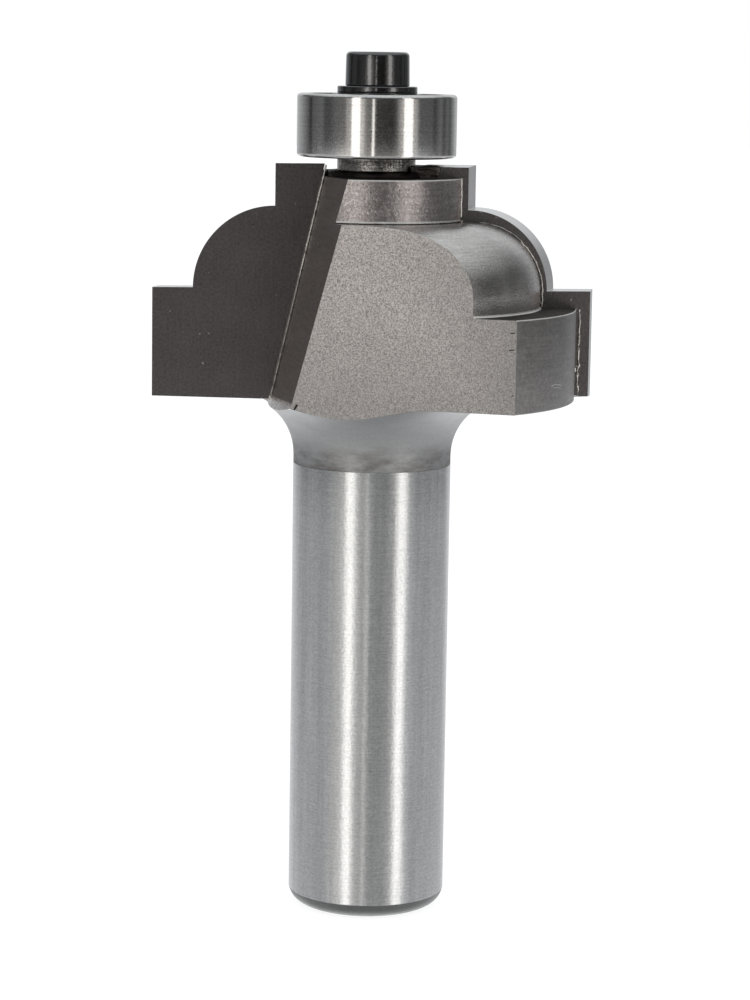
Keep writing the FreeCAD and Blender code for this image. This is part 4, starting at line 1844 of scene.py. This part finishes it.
class Studio:
    """The camera, the pale floor, the lamps and the surroundings that the metal reflects."""

    CAMERA_AZIMUTH = math.radians(262.5)
    CAMERA_DISTANCE = 0.235
    CAMERA_HEIGHT = 0.068968
    PITCH = math.radians(-8.627)
    AIM = math.radians(-0.0738)
    ROLL = math.radians(0.875)
    LENS = 105.72
    FRAME = 36.0
    STRIP_DISTANCE = 0.55
    STRIP_HEIGHT = 0.80
    STRIP_MIDDLE = 0.06
    STRIP_COLOUR = (1.0, 0.985, 0.955)
    GROUND_SIZE = 4.0
    GROUND_HEIGHT = -0.00002
    GROUND_GREY = 0.30
    GROUND_GLOW = 0.9

    # Grey levels round the bit: degrees from the camera's direction, seen from the bit, and the level there.
    ROOM = [
        (-180.0, 0.70), (-140.0, 0.40), (-117.0, 0.14), (-110.0, 0.03), (-105.0, 0.13), (-86.0, 0.18),
        (-79.0, 0.08), (-70.0, 0.09), (-63.0, 0.15), (-46.0, 0.19), (-43.5, 0.48), (-40.0, 0.44),
        (-37.0, 0.60), (-20.0, 0.80), (-16.0, 0.30), (-8.0, 0.15), (-6.9, 0.06), (-6.0, 1.8),
        (-4.2, 1.8), (-3.4, 0.06), (22.0, 0.035), (28.0, 0.09), (36.0, 0.55), (58.0, 0.52),
        (64.0, 0.13), (86.0, 0.12), (92.0, 0.06), (105.0, 0.19), (113.0, 0.08), (122.0, 0.17),
        (131.0, 0.11), (155.0, 0.52),
    ]
    TABLE = [
        (-180.0, 1.15), (-155.0, 0.92), (-135.0, 0.75), (-120.0, 0.70), (-100.0, 0.90), (-76.0, 0.77),
        (-64.0, 0.80), (-56.0, 1.05), (-44.0, 1.08), (-18.0, 0.52), (-11.0, 0.36), (-7.4, 0.28),
        (-6.0, 2.5), (-4.6, 2.5), (-3.0, 0.27), (20.0, 0.28), (30.0, 0.39), (37.0, 0.60),
        (60.0, 0.92), (68.0, 0.77), (140.0, 0.76), (155.0, 0.90), (180.0, 1.15),
    ]
    FLOOR = [
        (-180.0, 1.0), (-155.0, 0.72), (-135.0, 0.50), (-120.0, 0.46), (-100.0, 0.56), (-76.0, 0.54),
        (-64.0, 0.66), (-56.0, 1.0), (-44.0, 1.4), (-18.0, 1.0), (-11.0, 0.72), (-7.4, 0.62),
        (-6.0, 1.7), (-4.6, 1.7), (-3.0, 0.55), (20.0, 0.52), (30.0, 0.64), (37.0, 0.80),
        (60.0, 1.0), (68.0, 0.66), (140.0, 0.50), (155.0, 0.65), (180.0, 1.0),
    ]
    BELOW = [(-180.0, 2.0), (-120.0, 0.78), (-60.0, 0.47), (60.0, 0.46), (120.0, 0.78), (180.0, 2.0)]
    BACK = [
        (-180.0, 0.85), (-150.0, 0.65), (-138.0, 0.14), (-100.0, 0.12), (100.0, 0.12), (138.0, 0.14),
        (150.0, 0.65), (180.0, 0.85),
    ]
    TOP = (0.82, 0.86, 0.885)

    # Where each of them starts and where it is full, as the sine of the angle above or below the horizon.
    BACK_RISE = (0.10, 0.22)
    TOP_RISE = (0.38, 0.78)
    TABLE_DROP = (0.115, 0.165)
    FLOOR_DROP = (0.19, 0.27)
    BELOW_DROP = (0.28, 0.50)

    @classmethod
    def set_camera(cls) -> None:
        """Place the camera at the photograph's angle."""
        Bench.clear()
        look = cls.CAMERA_AZIMUTH + math.pi + cls.AIM
        across = Vector((math.cos(cls.CAMERA_AZIMUTH), math.sin(cls.CAMERA_AZIMUTH), 0.0))
        bpy.ops.object.camera_add(location=across * cls.CAMERA_DISTANCE + AXIS * cls.CAMERA_HEIGHT)
        camera = bpy.context.object
        camera.name = "studio_camera"
        turn = Matrix.Rotation(look - math.pi / 2, 3, "Z") @ Matrix.Rotation(math.pi / 2 + cls.PITCH, 3, "X")
        camera.rotation_euler = (turn @ Matrix.Rotation(cls.ROLL, 3, "Z")).to_euler()
        camera.data.sensor_fit = "VERTICAL"
        camera.data.sensor_height = cls.FRAME
        camera.data.lens = cls.LENS
        camera.data.clip_start = 0.01
        bpy.context.scene.camera = camera

    @classmethod
    def add_strip(cls, name: str, azimuth: float, width: float, power: float) -> None:
        """Hang an upright strip light that faces the bit.

        Args:
            name: The light's name.
            azimuth: Its direction from the camera's direction, in degrees, seen from the bit.
            width: Its width in metres.
            power: Its power in watts.
        """
        angle = cls.CAMERA_AZIMUTH + math.radians(azimuth)
        across = Vector((math.cos(angle), math.sin(angle), 0.0))
        place = across * cls.STRIP_DISTANCE + AXIS * cls.STRIP_MIDDLE
        bpy.ops.object.light_add(type="AREA", location=place)
        light = bpy.context.object
        light.name = name
        light.rotation_euler = (math.pi / 2, 0.0, angle + math.pi / 2)
        light.data.shape = "RECTANGLE"
        light.data.size, light.data.size_y = width, cls.STRIP_HEIGHT
        light.data.energy = power
        light.data.color = cls.STRIP_COLOUR
        light.visible_camera = False

    @staticmethod
    def ring(board: NodeBoard, around: bpy.types.NodeSocket, stops: list[Point]) -> bpy.types.NodeSocket:
        """Add a ring of grey levels round the bit, a little warmer near the camera and cooler behind the bit.

        Args:
            board: The surroundings' node tree.
            around: Direction as a share of a full turn, with the camera's in the middle.
            stops: Direction in degrees and level of each stop.

        Returns:
            The colour socket.
        """
        node = board.add("ValToRGB")
        board.feed(node, "Fac", around)
        elements = node.color_ramp.elements
        for index, (degrees, grey) in enumerate(stops):
            element = elements[index] if index < 2 else elements.new(1.0)
            element.position = degrees / 360.0 + 0.5
            warmth = 0.02 if abs(degrees) < 60.0 else -0.02
            element.color = (grey * (1.0 + warmth), grey, grey * (1.0 - 1.5 * warmth), 1.0)
        return node.outputs["Color"]

    @classmethod
    def set_surroundings(cls) -> None:
        """Light the bit from all round: white behind it and below, dark in front, a soft light above."""
        world = bpy.data.worlds.new("studio")
        bpy.context.scene.world = world
        world.use_nodes = True
        board = NodeBoard(world.node_tree)
        coordinates = board.add("TexCoord")
        turn = board.add("Mapping")
        board.feed(turn, "Vector", coordinates.outputs["Generated"])
        board.feed(turn, "Rotation", (0.0, 0.0, -cls.CAMERA_AZIMUTH))
        split = board.add("SeparateXYZ")
        board.feed(split, "Vector", turn.outputs["Vector"])
        angle = board.compute("ARCTAN2", split.outputs["Y"], split.outputs["X"])
        around = board.spread(angle, -math.pi, math.pi)
        up = split.outputs["Z"]
        down = board.compute("MULTIPLY", up, -1.0)

        level = cls.ring(board, around, cls.ROOM)
        level = board.blend(board.spread(up, *cls.BACK_RISE), level, cls.ring(board, around, cls.BACK))
        level = board.blend(board.spread(up, *cls.TOP_RISE), level, cls.TOP)
        level = board.blend(board.spread(down, *cls.TABLE_DROP), level, cls.ring(board, around, cls.TABLE))
        level = board.blend(board.spread(down, *cls.FLOOR_DROP), level, cls.ring(board, around, cls.FLOOR))
        level = board.blend(board.spread(down, *cls.BELOW_DROP), level, cls.ring(board, around, cls.BELOW))

        lit = board.add("Background")
        board.feed(lit, "Color", level)
        seen = board.add("Background")
        board.feed(seen, "Color", (1.0, 1.0, 1.0, 1.0))
        path = board.add("LightPath")
        choose = board.add("MixShader")
        board.feed(choose, "Fac", path.outputs["Is Camera Ray"])
        board.feed(choose, 1, lit.outputs["Background"])
        board.feed(choose, 2, seen.outputs["Background"])
        output = board.add("OutputWorld")
        board.feed(output, "Surface", choose.outputs["Shader"])

    @classmethod
    def lay_floor(cls) -> None:
        """Lay a pale floor that keeps a faint shadow."""
        Bench.clear()
        bpy.ops.mesh.primitive_plane_add(size=cls.GROUND_SIZE, location=(0.0, 0.0, cls.GROUND_HEIGHT))
        floor = bpy.context.object
        floor.name = "studio_floor"
        board = FinishBoard("pale_floor")
        matt = board.add("BsdfDiffuse")
        board.feed(matt, "Color", (cls.GROUND_GREY, cls.GROUND_GREY, cls.GROUND_GREY, 1.0))
        white = board.add("Emission")
        path = board.add("LightPath")
        seen = path.outputs["Is Camera Ray"]
        board.feed(white, "Strength", board.compute("MULTIPLY", seen, cls.GROUND_GLOW))
        both = board.add("AddShader")
        board.feed(both, 0, matt.outputs["BSDF"])
        board.feed(both, 1, white.outputs["Emission"])
        output = board.add("OutputMaterial")
        board.feed(output, "Surface", both.outputs["Shader"])
        floor.data.materials.append(board.material)
        floor.visible_glossy = False
        floor.visible_shadow = False

    @classmethod
    def build(cls) -> None:
        """Set up the whole studio."""
        cls.set_camera()
        cls.add_strip("left_strip", azimuth=-30.0, width=0.118, power=0.385)
        cls.add_strip("right_strip", azimuth=46.0, width=0.132, power=0.43)
        cls.set_surroundings()
        cls.lay_floor()
        bpy.context.scene.view_settings.view_transform = "Standard"


def dress_packed_nodes(dress: dict[str, bpy.types.Material]) -> None:
    """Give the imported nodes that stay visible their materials.

    Args:
        dress: Material of each node.
    """
    for name, material in dress.items():
        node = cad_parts[name]
        if not node.data.materials:
            node.data.materials.append(material)
        for slot in node.material_slots:
            slot.material = material
        log.info("%s keeps its packed shape", name)


def main() -> None:
    """Build the router bit and its studio."""
    Bench.clear()
    sizes = HeadSizes()
    steels = {region: steel.build() for region, steel in Palette.HEAD.items()}
    shade_and_speck_black = Palette.SHADE_AND_SPECKS.build()
    polished = Palette.RACE.build()

    Shank(sizes).build(Palette.SHANK.build(), Palette.CHAMFER.build())
    WingedHead(sizes).build(steels, Palette.WALL.build(), Palette.FLAT.build())
    CarbidePlates(sizes).build(Palette.PLATE.build(), Palette.HONED.build())
    BrazeBeads(sizes).build(Palette.BEAD.build(), Palette.THREAD.build())
    # The ring and the lumps are dark pieces standing for shade: painted shade.
    PaintedShadeFillers(sizes).build(shade_and_speck_black, Palette.SHADE_LUMPS.build())
    HandlingMarks(sizes).build(shade_and_speck_black, steels[Region.PAINTED_HIGHLIGHT_AND_SCRATCH])
    GuideBearing().build(polished)
    ClampScrew().build(Palette.BLACK.build())

    film = Palette.FILM.build()
    pressed = Palette.PRESSED.build()
    packed = {"braze_1": film, "braze_2": film, "bearing_inner_ring": polished}
    packed["ball_cage"] = Palette.CAGE.build()
    packed.update({f"ball_{number}": polished for number in range(1, 8)})
    for side in ("upper", "lower"):
        packed[f"shield_{side}"] = pressed
        packed[f"snap_ring_{side}"] = pressed
    dress_packed_nodes(packed)
    Studio.build()


if __name__ == "__main__":
    main()
